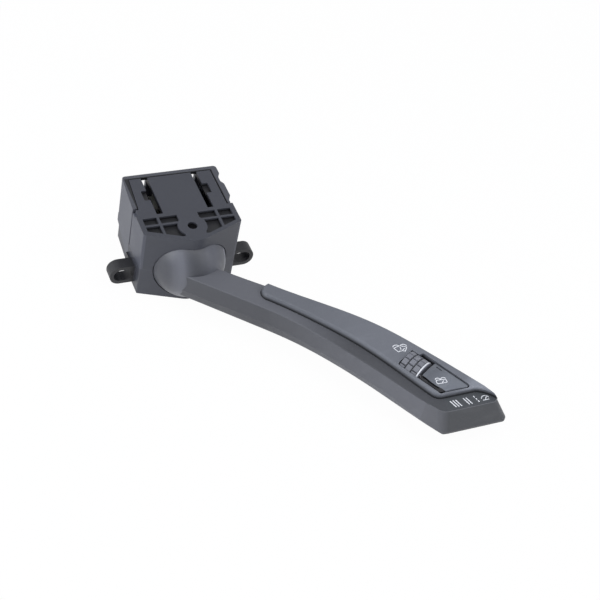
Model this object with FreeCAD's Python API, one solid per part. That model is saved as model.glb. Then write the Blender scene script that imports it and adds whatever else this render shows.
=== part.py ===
import FreeCAD, Part
import math
import os

# Windscreen wiper and washer stalk switch, in millimetres.
# It is drawn about the pivot point: X right, Y to the back, Z up, stalk towards -Y and +X.
# Export moves every piece so that the origin is the centre of the two fixing ears on their rear face.

os.makedirs("parts", exist_ok=True)
V = FreeCAD.Vector

# Case of the switch
CASE_HALF_WIDTH = 23.75
CASE_BACK = 38.3
CASE_TOP = 21.3
CASE_FLOOR = -16.8
NOSE_RADIUS = 10.0
NOSE_SLANT = 22.0
SPLIT_Z = -0.7
WALL = 2.2
FLOOR_WALL = 1.6
PLATE_THICK = 2.4
RIM_WIDTH = 2.4
PLATE_GAP = 0.3
SIDE_SPLIT_Y = 15.8
RIGHT_SPLIT_Y = 11.6
SIDE_TAPER = 1.5
SIDE_GROOVE = 1.0
SKIRT_STEP = 1.2
SKIRT_FRONT_Z = -10.2
SKIRT_REAR_Z = -5.1

# Ball joint and pivots
BALL_RADIUS = 18.0
BALL_WALL = 1.8
SOCKET_GAP = 0.4
BALL_TOP_OPENING = 7.6
BALL_UNDER_OPENING = 8.2
BALL_SIDE_Y = 1.4
YOKE_CLEAR = 0.6
PIVOT_HOLE_D = 4.6
PIVOT_FIT = 0.05
TILT_PIN_D = 4.0
SWING_ANGLE = 9.0

# Fixing ears
EAR_X = 29.5
EAR_Z = -8.1
EAR_FRONT_Y = 3.2
EAR_THICK = 6.0
EAR_SLOT_LONG = 9.2
EAR_SLOT_HIGH = 6.6
EAR_RIM = 1.8

# Stalk arm
LEDGE_Z = 5.2
COVER_RISE = 2.7
COVER_FAR_SHIFT = 0.6
COVER_TAIL_Y = -117.6
ARM_WALL = 1.8
COVER_WALL = 1.3
ARM_END_Y = -118.4
BAND_Y = -111.4
END_SLOPE = 0.24
END_FAR_X = 105.4
END_FAR_SLOPE = 0.6
END_TURN_Z = -6.6
END_NEAR_RADIUS = 6.0
END_FAR_RADIUS = 2.6
NEAR_FLARE = 0.6
FAR_SHIFT = 1.0
BELLY_Z = -3.4

# Wheel and button, placed along the last part of the arm
AXIS_ANGLE = 30.0
WHEEL_RADIUS = 7.7
WHEEL_START = 111.8
WHEEL_LENGTH = 9.3
WHEEL_SIDE = 19.7
WHEEL_Z = 2.0
WHEEL_ROWS = 3
WHEEL_TEETH = 14
WHEEL_GROOVE = 0.7
RING_THICK = 0.8
RECESS_NEAR = 13.3
RECESS_FAR = 27.5
RECESS_END_Y = -110.1
RECESS_SKEW = 4.7
AXLE_D = 2.4
BUTTON_GAP = 0.35
BUTTON_STROKE = 1.2
BUTTON_TOP = 8.6
BUTTON_CROWN = 24.0
BUTTON_CROWN_SIDE = 19.4

# Inside of the case
TAIL_END = 24.0
CAM_RADIUS = 27.6
FINGER_Y = 18.0
BOARD_Z = -14.6
BOARD_THICK = 1.6
PIN_ROWS = 2
PINS_PER_ROW = 6
PIN_PITCH = 2.54
PIN_SIDE = 0.64
SCREW_D = 2.5
PILLAR_RADIUS = 2.9
FRONT_PILLAR_X = CASE_HALF_WIDTH - 4.85
FRONT_PILLAR_Y = 11.2
REAR_PILLAR_X = CASE_HALF_WIDTH - 6.25
REAR_PILLAR_Y = CASE_BACK - 4.9
SHROUD_X = 13.0
SHROUD_WALL = 1.5
SHROUD_GAP = 0.1

ORIGIN = V(0, EAR_FRONT_Y + EAR_THICK, EAR_Z)
AX = math.radians(AXIS_ANGLE)
U = V(math.sin(AX), -math.cos(AX), 0)
N = V(math.cos(AX), math.sin(AX), 0)
SLANT = math.tan(math.radians(NOSE_SLANT))
NOSE_TIP_Y = -NOSE_RADIUS / math.cos(math.radians(NOSE_SLANT))
PILLARS = [(-FRONT_PILLAR_X, FRONT_PILLAR_Y), (FRONT_PILLAR_X, FRONT_PILLAR_Y),
           (-REAR_PILLAR_X, REAR_PILLAR_Y), (REAR_PILLAR_X, REAR_PILLAR_Y)]
CORNER_Y = NOSE_TIP_Y + CASE_HALF_WIDTH * SLANT


def box(x0, x1, y0, y1, z0, z1):
    return Part.makeBox(x1 - x0, y1 - y0, z1 - z0, V(x0, y0, z0))


def rod(start, end, radius):
    along = end.sub(start)
    return Part.makeCylinder(radius, along.Length, start, along)


def at(s, t, z):
    # A point given along the arm's end axis (s), across it (t) and by height.
    return U * s + N * t + V(0, 0, z)


def outline(corners):
    # Closed wire through corners (x, y, radius); each corner with a radius is rounded by an arc.
    count = len(corners)
    ends = []
    for i in range(count):
        x, y, r = corners[i]
        p = V(x, y, 0)
        a = V(corners[i - 1][0], corners[i - 1][1], 0).sub(p)
        b = V(corners[(i + 1) % count][0], corners[(i + 1) % count][1], 0).sub(p)
        a.normalize()
        b.normalize()
        if r <= 0:
            ends.append((p, None, p))
            continue
        half = math.acos(max(-1.0, min(1.0, a.dot(b)))) / 2
        back = r / math.tan(half)
        bis = a.add(b)
        bis.normalize()
        centre = p.add(bis * (r / math.sin(half)))
        ends.append((p.add(a * back), centre.sub(bis * r), p.add(b * back)))
    edges = []
    for i in range(count):
        first, mid, last = ends[i]
        if mid is not None:
            edges.append(Part.Arc(first, mid, last).toShape())
        nxt = ends[(i + 1) % count][0]
        if last.sub(nxt).Length > 1e-6:
            edges.append(Part.makeLine(last, nxt))
    return Part.Wire(edges)


def slab(corners, z0, z1):
    face = Part.Face(outline(corners))
    face.translate(V(0, 0, z0))
    return face.extrude(V(0, 0, z1 - z0))


def upright(corners, y0, y1):
    # Outline given in X and Z, extruded along Y.
    face = Part.Face(outline(corners))
    face.rotate(V(0, 0, 0), V(1, 0, 0), 90)
    face.translate(V(0, y0, 0))
    return face.extrude(V(0, y1 - y0, 0))


def arm_box(s0, s1, t0, t1, z0, z1):
    pts = [at(s0, t0, z0), at(s1, t0, z0), at(s1, t1, z0), at(s0, t1, z0)]
    face = Part.Face(Part.makePolygon(pts + [pts[0]]))
    return face.extrude(V(0, 0, z1 - z0))


def fuse(first, *others):
    return first.fuse(list(others)).removeSplitter()


def cut(first, *others):
    return first.cut(list(others))


def coil(radius, pitch, height, side, start, axis):
    # Square-wire compression spring.
    helix = Part.makeHelix(pitch, height, radius)
    c = V(radius, 0, 0)
    h = side / 2
    profile = [c + V(-h, 0, -h), c + V(h, 0, -h), c + V(h, 0, h), c + V(-h, 0, h), c + V(-h, 0, -h)]
    sweep = Part.Wire(helix.Edges).makePipeShell([Part.makePolygon(profile)], True, True)
    turn = FreeCAD.Rotation(V(0, 0, 1), axis)
    sweep.Placement = FreeCAD.Placement(start, turn)
    return sweep


def case_outline(inset, back, front_radius):
    # Plan of the case: two front faces meeting in a rounded nose, and a left side drawn in towards the back.
    w = CASE_HALF_WIDTH - inset
    tip = NOSE_TIP_Y + inset / math.cos(math.radians(NOSE_SLANT))
    corner = tip + w * SLANT
    r = NOSE_RADIUS - inset
    drawn = SIDE_TAPER * (back - SIDE_SPLIT_Y) / (CASE_BACK - SIDE_SPLIT_Y)
    return [(-w + drawn, back, 0.8), (-w, SIDE_SPLIT_Y, 0), (-w, corner, front_radius), (0, tip, r),
            (w, corner, front_radius), (w, back, 0.8)]


def export(name, shape):
    shape.translate(V(0, 0, 0).sub(ORIGIN))
    shape.exportStep("parts/" + name + ".step")


# Socket that the ball turns in, open only towards the front
socket = Part.makeSphere(BALL_RADIUS + SOCKET_GAP)
socket_floor = cut(socket.common(box(-30, 30, -30, -3.3, -30, 0.5)), rod(V(0, 0, -30), V(0, 0, 1), 5.4))
socket_upper = socket.common(box(-30, 30, -30, 3.4, -1.2, 30))
socket_sides = socket.common(box(-30, 30, -30, 4.4, -14.2, 0.5))

# Top cover: plate with slots and rib cells, and the front face above the parting line
front_block = slab(case_outline(0, 40, 0.8), SPLIT_Z, CASE_TOP)
front_block = front_block.common(box(-30, 30, -30, SIDE_SPLIT_Y - SIDE_GROOVE, -30, 30))
right_edge = CASE_HALF_WIDTH - 2.85
front_block = cut(front_block, box(right_edge, right_edge + 10, RIGHT_SPLIT_Y - PLATE_GAP, 40, -30, 30))
front_inner = slab(case_outline(WALL, 41, 0.5), SPLIT_Z - 1, CASE_TOP - PLATE_THICK)
plate_x = CASE_HALF_WIDTH - RIM_WIDTH - PLATE_GAP
plate_y = CASE_BACK - RIM_WIDTH - PLATE_GAP
plate = slab([(-plate_x, 5, 0), (plate_x, 5, 0), (plate_x, plate_y, 0), (-plate_x + SIDE_TAPER, plate_y, 0),
              (-plate_x, SIDE_SPLIT_Y, 0)], CASE_TOP - PLATE_THICK, CASE_TOP)
# The cheeks beside the ball are thicker so that the socket is a bearing surface
cheeks = slab(case_outline(0.6, 40, 0.5), SPLIT_Z, CASE_TOP - PLATE_THICK + 0.1)
cheeks = cheeks.common(box(-30, 30, -30, 3.4, -30, 30))
top_cover = fuse(cut(front_block, front_inner), cheeks, plate)
hub_space = rod(V(0, 0, 10), V(0, 0, CASE_TOP - PLATE_THICK), 5.4)
top_cover = cut(top_cover, socket_upper, hub_space)
pivot_hole = rod(V(0, 0, 15), V(0, 0, 30), PIVOT_HOLE_D / 2)
slots = []
for side, inner, outer in ((-1, 10.6, 13.8), (1, 11.0, 14.0)):
    x0 = min(side * inner, side * outer)
    x1 = max(side * inner, side * outer)
    slots.append(box(x0, x1, 10.4, 50, 15, 30))
    px = sorted((side * outer, side * (outer + 2.7)))
    slots.append(slab([(px[0] - 0.1, 20.3, 0), (px[1], 20.3, 0.6), (px[1], 27.0, 0.6), (px[0] - 0.1, 27.0, 0)], 19.6, 30)
                 if side > 0 else
                 slab([(px[1] + 0.1, 20.3, 0), (px[0], 20.3, 0.6), (px[0], 27.0, 0.6), (px[1] + 0.1, 27.0, 0)], 19.6, 30))
cells = []
for side in (-1, 1):
    for x0, x1 in ((5.0, 13.6), (14.8, 21.4)):
        for y0, y1 in ((4.0, 8.3), (-6.0, 2.8)):
            xa, xb = sorted((side * x0, side * x1))
            cells.append(box(xa, xb, y0, y1, CASE_TOP - 1.7, CASE_TOP + 1))
cell_zone = slab(case_outline(WALL - 0.2, 12, 0.5), CASE_TOP - 2, CASE_TOP + 2)
cell_zone = cut(cell_zone, rod(V(0, 0, 0), V(0, 0, 40), 6.9))
cell_cut = Part.makeCompound(cells).common(cell_zone)
top_cover = cut(top_cover, pivot_hole, *(slots + cell_cut.Solids))
# Screw pillars beside the ball
pillar_front = []
for side in (-1, 1):
    pillar_front.append(rod(V(side * FRONT_PILLAR_X, FRONT_PILLAR_Y, SPLIT_Z), V(side * FRONT_PILLAR_X, FRONT_PILLAR_Y, CASE_TOP - PLATE_THICK + 0.2), PILLAR_RADIUS))
pillar_holes = []
for side in (-1, 1):
    pillar_holes.append(rod(V(side * FRONT_PILLAR_X, FRONT_PILLAR_Y, SPLIT_Z - 1), V(side * FRONT_PILLAR_X, FRONT_PILLAR_Y, 9.0), SCREW_D / 2))
front_clear = box(right_edge, right_edge + 10, RIGHT_SPLIT_Y - PLATE_GAP, 40, -30, 30)
top_cover = fuse(top_cover, *pillar_front)
top_cover = cut(top_cover, front_clear, *pillar_holes)
# Shallow step where the left cheek meets the rear side panel
top_cover = cut(top_cover, box(-CASE_HALF_WIDTH - 5, -CASE_HALF_WIDTH + 1.2, 11.0, 16, CASE_TOP - 1.7, 30))
top_cover = top_cover.Solids[0]

# Rear housing: side walls, back wall and the raised rim round the plate
hw = CASE_HALF_WIDTH
rear_shape = [
    (-hw, SIDE_SPLIT_Y, 0.3), (-hw + SIDE_TAPER, CASE_BACK, 1.6), (hw + 0.9, CASE_BACK, 1.6), (hw + 0.9, 32.6, 0.8),
    (hw - 0.5, 30.6, 0.6), (hw - 0.5, 27.0, 0.6), (hw + 0.7, 25.0, 0.8), (hw + 0.7, 16.4, 0.8),
    (hw - 0.9, 14.4, 0.5), (hw - 0.9, RIGHT_SPLIT_Y, 0.2), (hw - RIM_WIDTH, RIGHT_SPLIT_Y, 0),
    (hw - RIM_WIDTH, CASE_BACK - RIM_WIDTH, 0.8), (-hw + SIDE_TAPER + RIM_WIDTH, CASE_BACK - RIM_WIDTH, 0.8),
    (-hw + RIM_WIDTH, SIDE_SPLIT_Y, 0)]
rear_housing = slab(rear_shape, SPLIT_Z, CASE_TOP)
# Skirts that clip down over the lower housing, with a slanted lower edge
skirt_side = Part.Face(Part.makePolygon([
    V(0, SIDE_SPLIT_Y, SPLIT_Z), V(0, SIDE_SPLIT_Y, SKIRT_FRONT_Z), V(0, CASE_BACK - 0.4, SKIRT_REAR_Z),
    V(0, CASE_BACK - 0.4, SPLIT_Z), V(0, SIDE_SPLIT_Y, SPLIT_Z)]))
skirt_zone = cut(slab(case_outline(0, CASE_BACK, 0.8), SKIRT_FRONT_Z - 1, SPLIT_Z),
                 slab(case_outline(SKIRT_STEP - 0.05, CASE_BACK + 2, 0.5), SKIRT_FRONT_Z - 2, SPLIT_Z + 1))
skirt_prism = skirt_side.extrude(V(60, 0, 0))
skirt_prism.translate(V(-30, 0, 0))
skirts = skirt_prism.common(skirt_zone).Solids
rear_pillars = []
for side in (-1, 1):
    rear_pillars.append(rod(V(side * REAR_PILLAR_X, REAR_PILLAR_Y, SPLIT_Z), V(side * REAR_PILLAR_X, REAR_PILLAR_Y, 14.0), PILLAR_RADIUS))
rib_y = SIDE_SPLIT_Y + 6.2
rear_pillars.append(box(-hw + 1.5, -hw + 4.2, rib_y, rib_y + 1.4, SPLIT_Z, CASE_TOP - PLATE_THICK - 0.3))
rear_pillars.append(box(hw - 4.2, hw - 1.5, rib_y, rib_y + 1.4, SPLIT_Z, CASE_TOP - PLATE_THICK - 0.3))
rear_housing = fuse(rear_housing, *(rear_pillars + skirts))
notches = []
for x0, x1 in ((-13.8, -10.6), (11.0, 14.0)):
    notches.append(box(x0, x1, CASE_BACK - 5, CASE_BACK + 5, CASE_TOP - 7.5, CASE_TOP - 1.6))
rear_holes = []
for side in (-1, 1):
    rear_holes.append(rod(V(side * REAR_PILLAR_X, REAR_PILLAR_Y, SPLIT_Z - 1), V(side * REAR_PILLAR_X, REAR_PILLAR_Y, 9.0), SCREW_D / 2))
rear_housing = cut(rear_housing, *(notches + rear_holes))
rear_housing = rear_housing.Solids[0]

# Lower housing: black tray with the socket's lower half, the ears and the floor bearing
tray = slab(case_outline(0, CASE_BACK, 0.8), CASE_FLOOR, SPLIT_Z)
tray_inner = slab(case_outline(WALL, CASE_BACK - WALL, 0.5), CASE_FLOOR + FLOOR_WALL, SPLIT_Z + 1)
lower_cheeks = slab(case_outline(0.6, CASE_BACK, 0.5), CASE_FLOOR + 0.4, SPLIT_Z)
lower_cheeks = lower_cheeks.common(box(-30, 30, -30, 4.4, -30, 30))
side_step = cut(box(-30, 30, SIDE_SPLIT_Y - 0.2, CASE_BACK + 1, CASE_FLOOR - 1, SPLIT_Z + 1),
                slab(case_outline(SKIRT_STEP, CASE_BACK + 3, 0.5), CASE_FLOOR - 2, SPLIT_Z + 2))
lower_housing = fuse(cut(tray, tray_inner, side_step), lower_cheeks)
socket_lower = fuse(socket_floor, socket_sides)
lower_housing = cut(lower_housing, socket_lower, box(-15.0, 15.0, -3.3, 4.6, CASE_FLOOR + FLOOR_WALL, 0))
bearing = rod(V(0, 0, CASE_FLOOR), V(0, 0, CASE_FLOOR + 2.6), 4.8)
pillars = []
pillar_cuts = []
for x, y in PILLARS:
    pillars.append(rod(V(x, y, CASE_FLOOR), V(x, y, SPLIT_Z), PILLAR_RADIUS))
    pillar_cuts.append(rod(V(x, y, CASE_FLOOR - 1), V(x, y, SPLIT_Z + 1), SCREW_D / 2 + 0.15))
    pillar_cuts.append(rod(V(x, y, CASE_FLOOR - 1), V(x, y, CASE_FLOOR + 2.0), 2.5))
standoffs = []
for x, y in ((-14.0, 15.0), (14.0, 15.0), (-14.0, 28.0), (14.0, 28.0)):
    standoffs.append(rod(V(x, y, CASE_FLOOR + 0.5), V(x, y, BOARD_Z), 1.6))
ears = []
ear_cuts = []
ear_h = EAR_SLOT_HIGH / 2 + EAR_RIM
ear_far = EAR_X + EAR_SLOT_LONG / 2 + EAR_RIM
for side in (-1, 1):
    near = side * (CASE_HALF_WIDTH - 1.0)
    far = side * ear_far
    ring = [(near, EAR_Z - ear_h, 0), (far, EAR_Z - ear_h, 4.8), (far, EAR_Z + ear_h, 4.8), (near, EAR_Z + ear_h, 0)]
    ears.append(upright(ring, EAR_FRONT_Y, EAR_FRONT_Y + EAR_THICK))
    r = EAR_SLOT_HIGH / 2
    run = EAR_SLOT_LONG / 2 - r
    x = side * EAR_X
    slot = box(x - run, x + run, EAR_FRONT_Y - 1, EAR_FRONT_Y + EAR_THICK + 1, EAR_Z - r, EAR_Z + r)
    for end in (-run, run):
        low_end = V(x + end, EAR_FRONT_Y - 1, EAR_Z)
        slot = slot.fuse(rod(low_end, V(x + end, EAR_FRONT_Y + EAR_THICK + 1, EAR_Z), r))
    ear_cuts.append(slot.removeSplitter())
    # Gusset from the ear's foot back along the case side
    gx = sorted((side * (CASE_HALF_WIDTH - 0.5), side * (CASE_HALF_WIDTH + 1.3)))
    ears.append(box(gx[0], gx[1], EAR_FRONT_Y + EAR_THICK, 14.5, EAR_Z - 3.6, EAR_Z + 3.6))
shroud_hole = box(-SHROUD_X, SHROUD_X, 30, 45, -13.0, -3.0)
lower_housing = fuse(lower_housing, bearing, *(pillars + standoffs + ears))
bearing_hole = rod(V(0, 0, CASE_FLOOR - 1), V(0, 0, CASE_FLOOR + 5), PIVOT_HOLE_D / 2)
lower_housing = cut(lower_housing, bearing_hole, shroud_hole, *(pillar_cuts + ear_cuts))
lower_housing = lower_housing.Solids[0]

# Housing screws, one in each pillar, entered from below
screws = []
for x, y in PILLARS:
    head = Part.makeCone(2.3, 2.0, 1.6, V(x, y, CASE_FLOOR + 0.4), V(0, 0, 1))
    shank = rod(V(x, y, CASE_FLOOR + 1.9), V(x, y, 8.0), SCREW_D / 2)
    recess = box(x - 1.4, x + 1.4, y - 0.3, y + 0.3, CASE_FLOOR, CASE_FLOOR + 1.2)
    recess_b = box(x - 0.3, x + 0.3, y - 1.4, y + 1.4, CASE_FLOOR, CASE_FLOOR + 1.2)
    screws.append(cut(fuse(head, shank), recess, recess_b))
housing_screws = Part.makeCompound(screws)

# Circuit board, its chips and the connector
circuit_board = slab([(-15.4, 11.0, 1), (15.4, 11.0, 1), (15.4, 34.4, 1), (-15.4, 34.4, 1)], BOARD_Z, BOARD_Z + BOARD_THICK)
board_top = BOARD_Z + BOARD_THICK
chips = []
for x, y, w, d in ((-9.0, 27.5, 7.0, 5.0), (8.5, 27.0, 4.5, 3.2), (1.5, 26.6, 3.0, 1.6)):
    chips.append(box(x - w / 2, x + w / 2, y - d / 2, y + d / 2, board_top, board_top + 1.2))
board_chips = Part.makeCompound(chips)
sx = SHROUD_X - SHROUD_GAP
shroud_plan = box(-sx, sx, 35.0, 46.5, -12.9, -3.1)
shroud_cavity = box(-sx + SHROUD_WALL, sx - SHROUD_WALL, 38.0, 50, -12.9 + SHROUD_WALL, -3.1 - SHROUD_WALL)
flange = cut(box(-sx - 1.6, sx + 1.6, CASE_BACK, CASE_BACK + 1.4, -14.4, -1.6), box(-sx, sx, 30, 50, -12.9, -3.1))
key_slot = box(-2.2, 2.2, 41.0, 50, -5.0, 0)
pins = []
pin_cuts = []
pin_x0 = -PIN_PITCH * (PINS_PER_ROW - 1) / 2
for row in range(PIN_ROWS):
    for i in range(PINS_PER_ROW):
        x = pin_x0 + i * PIN_PITCH
        z = -6.6 - row * 2.8
        y_bend = 33.6 - (1 - row) * 1.9
        h = PIN_SIDE / 2
        pin = fuse(box(x - h, x + h, y_bend - h, 45.0, z - h, z + h),
                   box(x - h, x + h, y_bend - h, y_bend + h, BOARD_Z - 0.4, z + h))
        pins.append(pin)
        pin_cuts.append(box(x - h, x + h, 30, 50, z - h, z + h))
        pin_cuts.append(box(x - h, x + h, y_bend - h, y_bend + h, BOARD_Z - 1, z))
connector_pins = Part.makeCompound(pins)
connector_shroud = cut(fuse(shroud_plan, flange), shroud_cavity, key_slot, *pin_cuts).Solids[0]
board_clear = []
for x, y in PILLARS:
    board_clear.append(rod(V(x, y, CASE_FLOOR), V(x, y, 0), PILLAR_RADIUS + 0.3))
circuit_board = cut(circuit_board, *(pin_cuts + board_clear))

# Centring cam: dished block that the plunger presses on
cam_block = slab([(-9, 26.4, 1), (9, 26.4, 1), (9, CASE_BACK - RIM_WIDTH, 0.3), (-9, CASE_BACK - RIM_WIDTH, 0.3)], -2.6, 9.0)
cam_block = fuse(cam_block, box(-7.0, 7.0, 26.9, CASE_BACK - RIM_WIDTH, 9.0 - 0.1, 11.0))
dish = Part.makeSphere(CAM_RADIUS)
notch = Part.makeCone(1.9, 0.3, 0.7, V(0, CAM_RADIUS - 0.15, 0), V(0, 1, 0))
centring_cam = cut(cam_block, dish, notch)

# Swing yoke: turns about the vertical pivot and carries the tilt pins
inner_r = BALL_RADIUS - BALL_WALL - YOKE_CLEAR
frame_outer = upright([(-10.2, -14.0, 2), (10.2, -14.0, 2), (10.2, 14.6, 2), (-10.2, 14.6, 2)], -4.2, 6.0)
frame_hole = upright([(-7.5, -10.8, 1.5), (7.5, -10.8, 1.5), (7.5, 11.2, 1.5), (-7.5, 11.2, 1.5)], -10, 10)
yoke = cut(frame_outer, frame_hole).common(Part.makeSphere(inner_r))
upper_hub = rod(V(0, 0, 13.0), V(0, 0, CASE_TOP - PLATE_THICK - 0.15), 4.6)
upper_pin = rod(V(0, 0, 18.0), V(0, 0, CASE_TOP - 1.5), PIVOT_HOLE_D / 2 - PIVOT_FIT)
lower_hub = rod(V(0, 0, -14.05), V(0, 0, -12.0), 4.6)
lower_pin = rod(V(0, 0, CASE_FLOOR + 0.3), V(0, 0, -13.0), PIVOT_HOLE_D / 2 - PIVOT_FIT)
web = box(-3.0, 3.0, 3.0, 6.0, -12.5, -8.2)
finger = slab([(-3.0, 3.0, 0), (3.0, 3.0, 0), (2.2, FINGER_Y + 2.2, 2), (-2.2, FINGER_Y + 2.2, 2)], -10.2, -8.2)
drive_pin = rod(V(0, FINGER_Y, -12.4), V(0, FINGER_Y, -10.0), 1.2)
tilt_bore = rod(V(-20, 0, 0), V(20, 0, 0), TILT_PIN_D / 2 + PIVOT_FIT)
swing_yoke = fuse(yoke, upper_hub, upper_pin, lower_hub, lower_pin, web, finger, drive_pin)
swing_yoke = cut(swing_yoke, tilt_bore)

# Contact slider driven by the yoke finger, with its guide and contact leaves
guide_out = slab([(-14.2, 12.4, 0.8), (14.2, 12.4, 0.8), (14.2, 23.8, 0.8), (-14.2, 23.8, 0.8)], board_top, -10.7)
guide_in = slab([(-11.8, 13.8, 0.4), (11.8, 13.8, 0.4), (11.8, 22.4, 0.4), (-11.8, 22.4, 0.4)], board_top - 1, -10)
slider_guide = cut(guide_out, guide_in)
slider = slab([(-8.2, 13.9, 0.6), (8.2, 13.9, 0.6), (8.2, 22.3, 0.6), (-8.2, 22.3, 0.6)], -12.2, -10.7)
slot_y0 = FINGER_Y - 2.4
slot_y1 = FINGER_Y + 2.4
drive_slot = box(-1.25, 1.25, slot_y0, slot_y1, -14, -9)
contact_slider = cut(slider, drive_slot)
leaves = []
for x, y in ((-5.2, 14.6), (-5.2, 20.7), (5.2, 14.6), (5.2, 20.7)):
    path = [(x - 2.2, -12.4), (x - 2.2, -12.2), (x - 1.0, -12.2), (x + 1.2, -12.78), (x + 1.9, -12.6),
            (x + 2.0, -12.8), (x + 1.2, -12.98), (x - 1.1, -12.4)]
    leaf = upright([(px, pz, 0) for px, pz in path], y, y + 1.0)
    leaves.append(leaf)
contact_springs = Part.makeCompound(leaves)

# Ball cover: part of a spherical shell that fills the socket opening
ball = cut(Part.makeSphere(BALL_RADIUS), Part.makeSphere(BALL_RADIUS - BALL_WALL))
ball_cover = ball.common(box(-25, 25, -25, BALL_SIDE_Y, -25, 25))
under_trim = box(-25, 25, -7.2, 25, -25, -13.2)
polar_top = rod(V(0, 0, 0), V(0, 0, 25), BALL_TOP_OPENING)
polar_under = rod(V(0, 0, -25), V(0, 0, 0), BALL_UNDER_OPENING)
ball_cover = cut(ball_cover, polar_top, polar_under, under_trim)

# Lever core: block on the tilt pins, tail to the back, neck out into the arm
core = slab([(-7.2, -7.0, 2), (7.2, -7.0, 2), (7.2, 7.0, 2), (-7.2, 7.0, 2)], -6.3, 6.3)
tail = rod(V(0, 6, 0), V(0, TAIL_END, 0), 3.6)
tail_bore = rod(V(0, 11.0, 0), V(0, TAIL_END + 1, 0), 2.15)
neck_plan = [(-3.0, -6.0, 0), (5.0, -6.0, 0), (5.0, -14.6, 1), (11.95, -21.2, 2), (22.3, -30.3, 1), (18.7, -34.5, 1),
             (8.25, -25.4, 2), (-1.2, -16.4, 2)]
neck = slab(neck_plan, -4.4, 2.4)
tilt_hole = rod(V(-20, 0, 0), V(20, 0, 0), TILT_PIN_D / 2)
lever_core = cut(fuse(core, tail, neck), tail_bore, tilt_hole)
pin_list = []
for side in (-1, 1):
    pin_list.append(rod(V(side * 3.0, 0, 0), V(side * 10.1, 0, 0), TILT_PIN_D / 2))
tilt_pins = Part.makeCompound(pin_list)
web_left = box(-3.0, 3.0, -3.0, 3.0, -3.0, 3.0)
lever_core = fuse(lever_core, web_left)
ball_cover = cut(ball_cover, neck)
ball_cover = max(ball_cover.Solids, key=lambda s: s.Volume)

# Plunger and its spring in the tail
plunger_body = rod(V(0, 15.0, 0), V(0, CAM_RADIUS - 1.65, 0), 2.05)
plunger_tip = Part.makeCone(2.05, 0.8, 1.4, V(0, CAM_RADIUS - 1.65, 0), V(0, 1, 0))
cam_plunger = fuse(plunger_body, plunger_tip)
plunger_spring = coil(1.5, 1.25, 3.4, 0.42, V(0, 11.3, 0), V(0, 1, 0))

# Arm: stations as pairs of near and far edge points, with the height of the underside, the far side's flare
# down to the belly line and its further spread down to the bottom edge
STATIONS = [
    ((-12.5, -10.5), (-1.0, -7.0), -9.6, 0.0, -1.6),
    ((-3.2, -19.2), (5.6, -11.8), -9.6, 0.0, -1.6),
    ((6.0, -27.6), (14.2, -19.0), -9.8, 0.2, -1.6),
    ((18.0, -38.7), (26.9, -29.6), -10.0, 0.6, -1.6),
    ((28.4, -48.9), (39.4, -40.0), -9.8, 1.2, -1.6),
    ((38.0, -60.4), (51.0, -50.2), -9.0, 1.8, -1.6),
    ((47.2, -73.2), (62.8, -60.4), -8.4, 2.4, -1.6),
    ((55.4, -85.4), (73.8, -72.4), -8.4, 2.9, -1.6),
    ((62.6, -97.0), (83.6, -86.4), -8.5, 3.3, -1.5),
    ((68.8, -107.0), (93.4, -100.6), -8.7, 3.7, -0.9),
    ((73.6, -114.2), (102.4, -112.6), -9.0, 4.6, 0.6),
    ((81.4, -125.0), (109.0, -123.6), -9.2, 6.6, 3.0)]


def section(near, far, top, low, inset, flare, spread, r_low):
    # Rounded section standing on the line from the near to the far edge, widest at the belly line.
    a = V(near[0], near[1], 0)
    b = V(far[0], far[1], 0)
    across = b.sub(a)
    width = across.Length + FAR_SHIFT
    across.normalize()
    chamfer = 0.4
    tuck = 1.6
    pts = [(inset + chamfer, top - inset, 0), (width - inset - chamfer, top - inset, 0),
           (width - inset, top - inset - chamfer, 0), (width + flare - inset, BELLY_Z, 0),
           (width + flare - inset + spread, low + inset, r_low), (inset - NEAR_FLARE + tuck, low + inset, r_low),
           (inset - NEAR_FLARE, BELLY_Z, 0), (inset, top - inset - chamfer, 0)]
    wire = outline(pts)
    stand = FreeCAD.Matrix(across.x, 0, across.y, a.x, across.y, 0, -across.x, a.y, 0, 1, 0, 0, 0, 0, 0, 1)
    wire.Placement = FreeCAD.Placement(stand)
    return wire


def arm_loft(inset, first, last, r_low):
    wires = []
    for near, far, low, flare, spread in STATIONS[first:last]:
        wires.append(section(near, far, LEDGE_Z, low, inset, flare, spread, r_low))
    return Part.makeLoft(wires, True, False)


def end_form(inset):
    # The arm's end face leans outwards towards the bottom and then turns under, with rounded corners in plan.
    wires = []
    for z in (12.0, END_TURN_Z, END_TURN_Z - 1.4, END_TURN_Z - 2.6, END_TURN_Z - 6.0):
        drop = LEDGE_Z - z
        under = max(0.0, END_TURN_Z - z)
        end_y = ARM_END_Y + inset - END_SLOPE * drop + 0.25 * under ** 2
        near_x = 77.2 - 0.72 * (end_y - ARM_END_Y) - 0.2
        far_x = END_FAR_X - inset + END_FAR_SLOPE * drop - 0.3 * under ** 2
        plan = [(-60, 40, 0), (-60, 0, 0), (near_x - 0.72 * 30, end_y + 30, 0), (near_x, end_y, END_NEAR_RADIUS),
                (far_x, end_y, END_FAR_RADIUS), (far_x - 0.15 * 30, end_y + 30, 0), (far_x, 40, 0)]
        wire = outline(plan)
        wire.translate(V(0, 0, z))
        wires.append(wire)
    return Part.makeLoft(wires, True, True)


arm_outer = arm_loft(0.0, 0, len(STATIONS), 3.0)
arm_inner = arm_loft(ARM_WALL, 0, len(STATIONS), 1.4)
arm_inner = arm_inner.common(box(-40, 140, ARM_END_Y + 2.6, 20, -20, 20))
arm_outer = arm_outer.common(end_form(0.0))
arm = cut(arm_outer, arm_inner, Part.makeSphere(BALL_RADIUS + 0.03))
arm = max(arm.Solids, key=lambda s: s.Volume)
arm_half = box(-40, 140, BAND_Y, 20, -20, 20)
stalk_lower_shell = arm.common(arm_half)
stalk_end_cap = cut(arm, arm_half)

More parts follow.
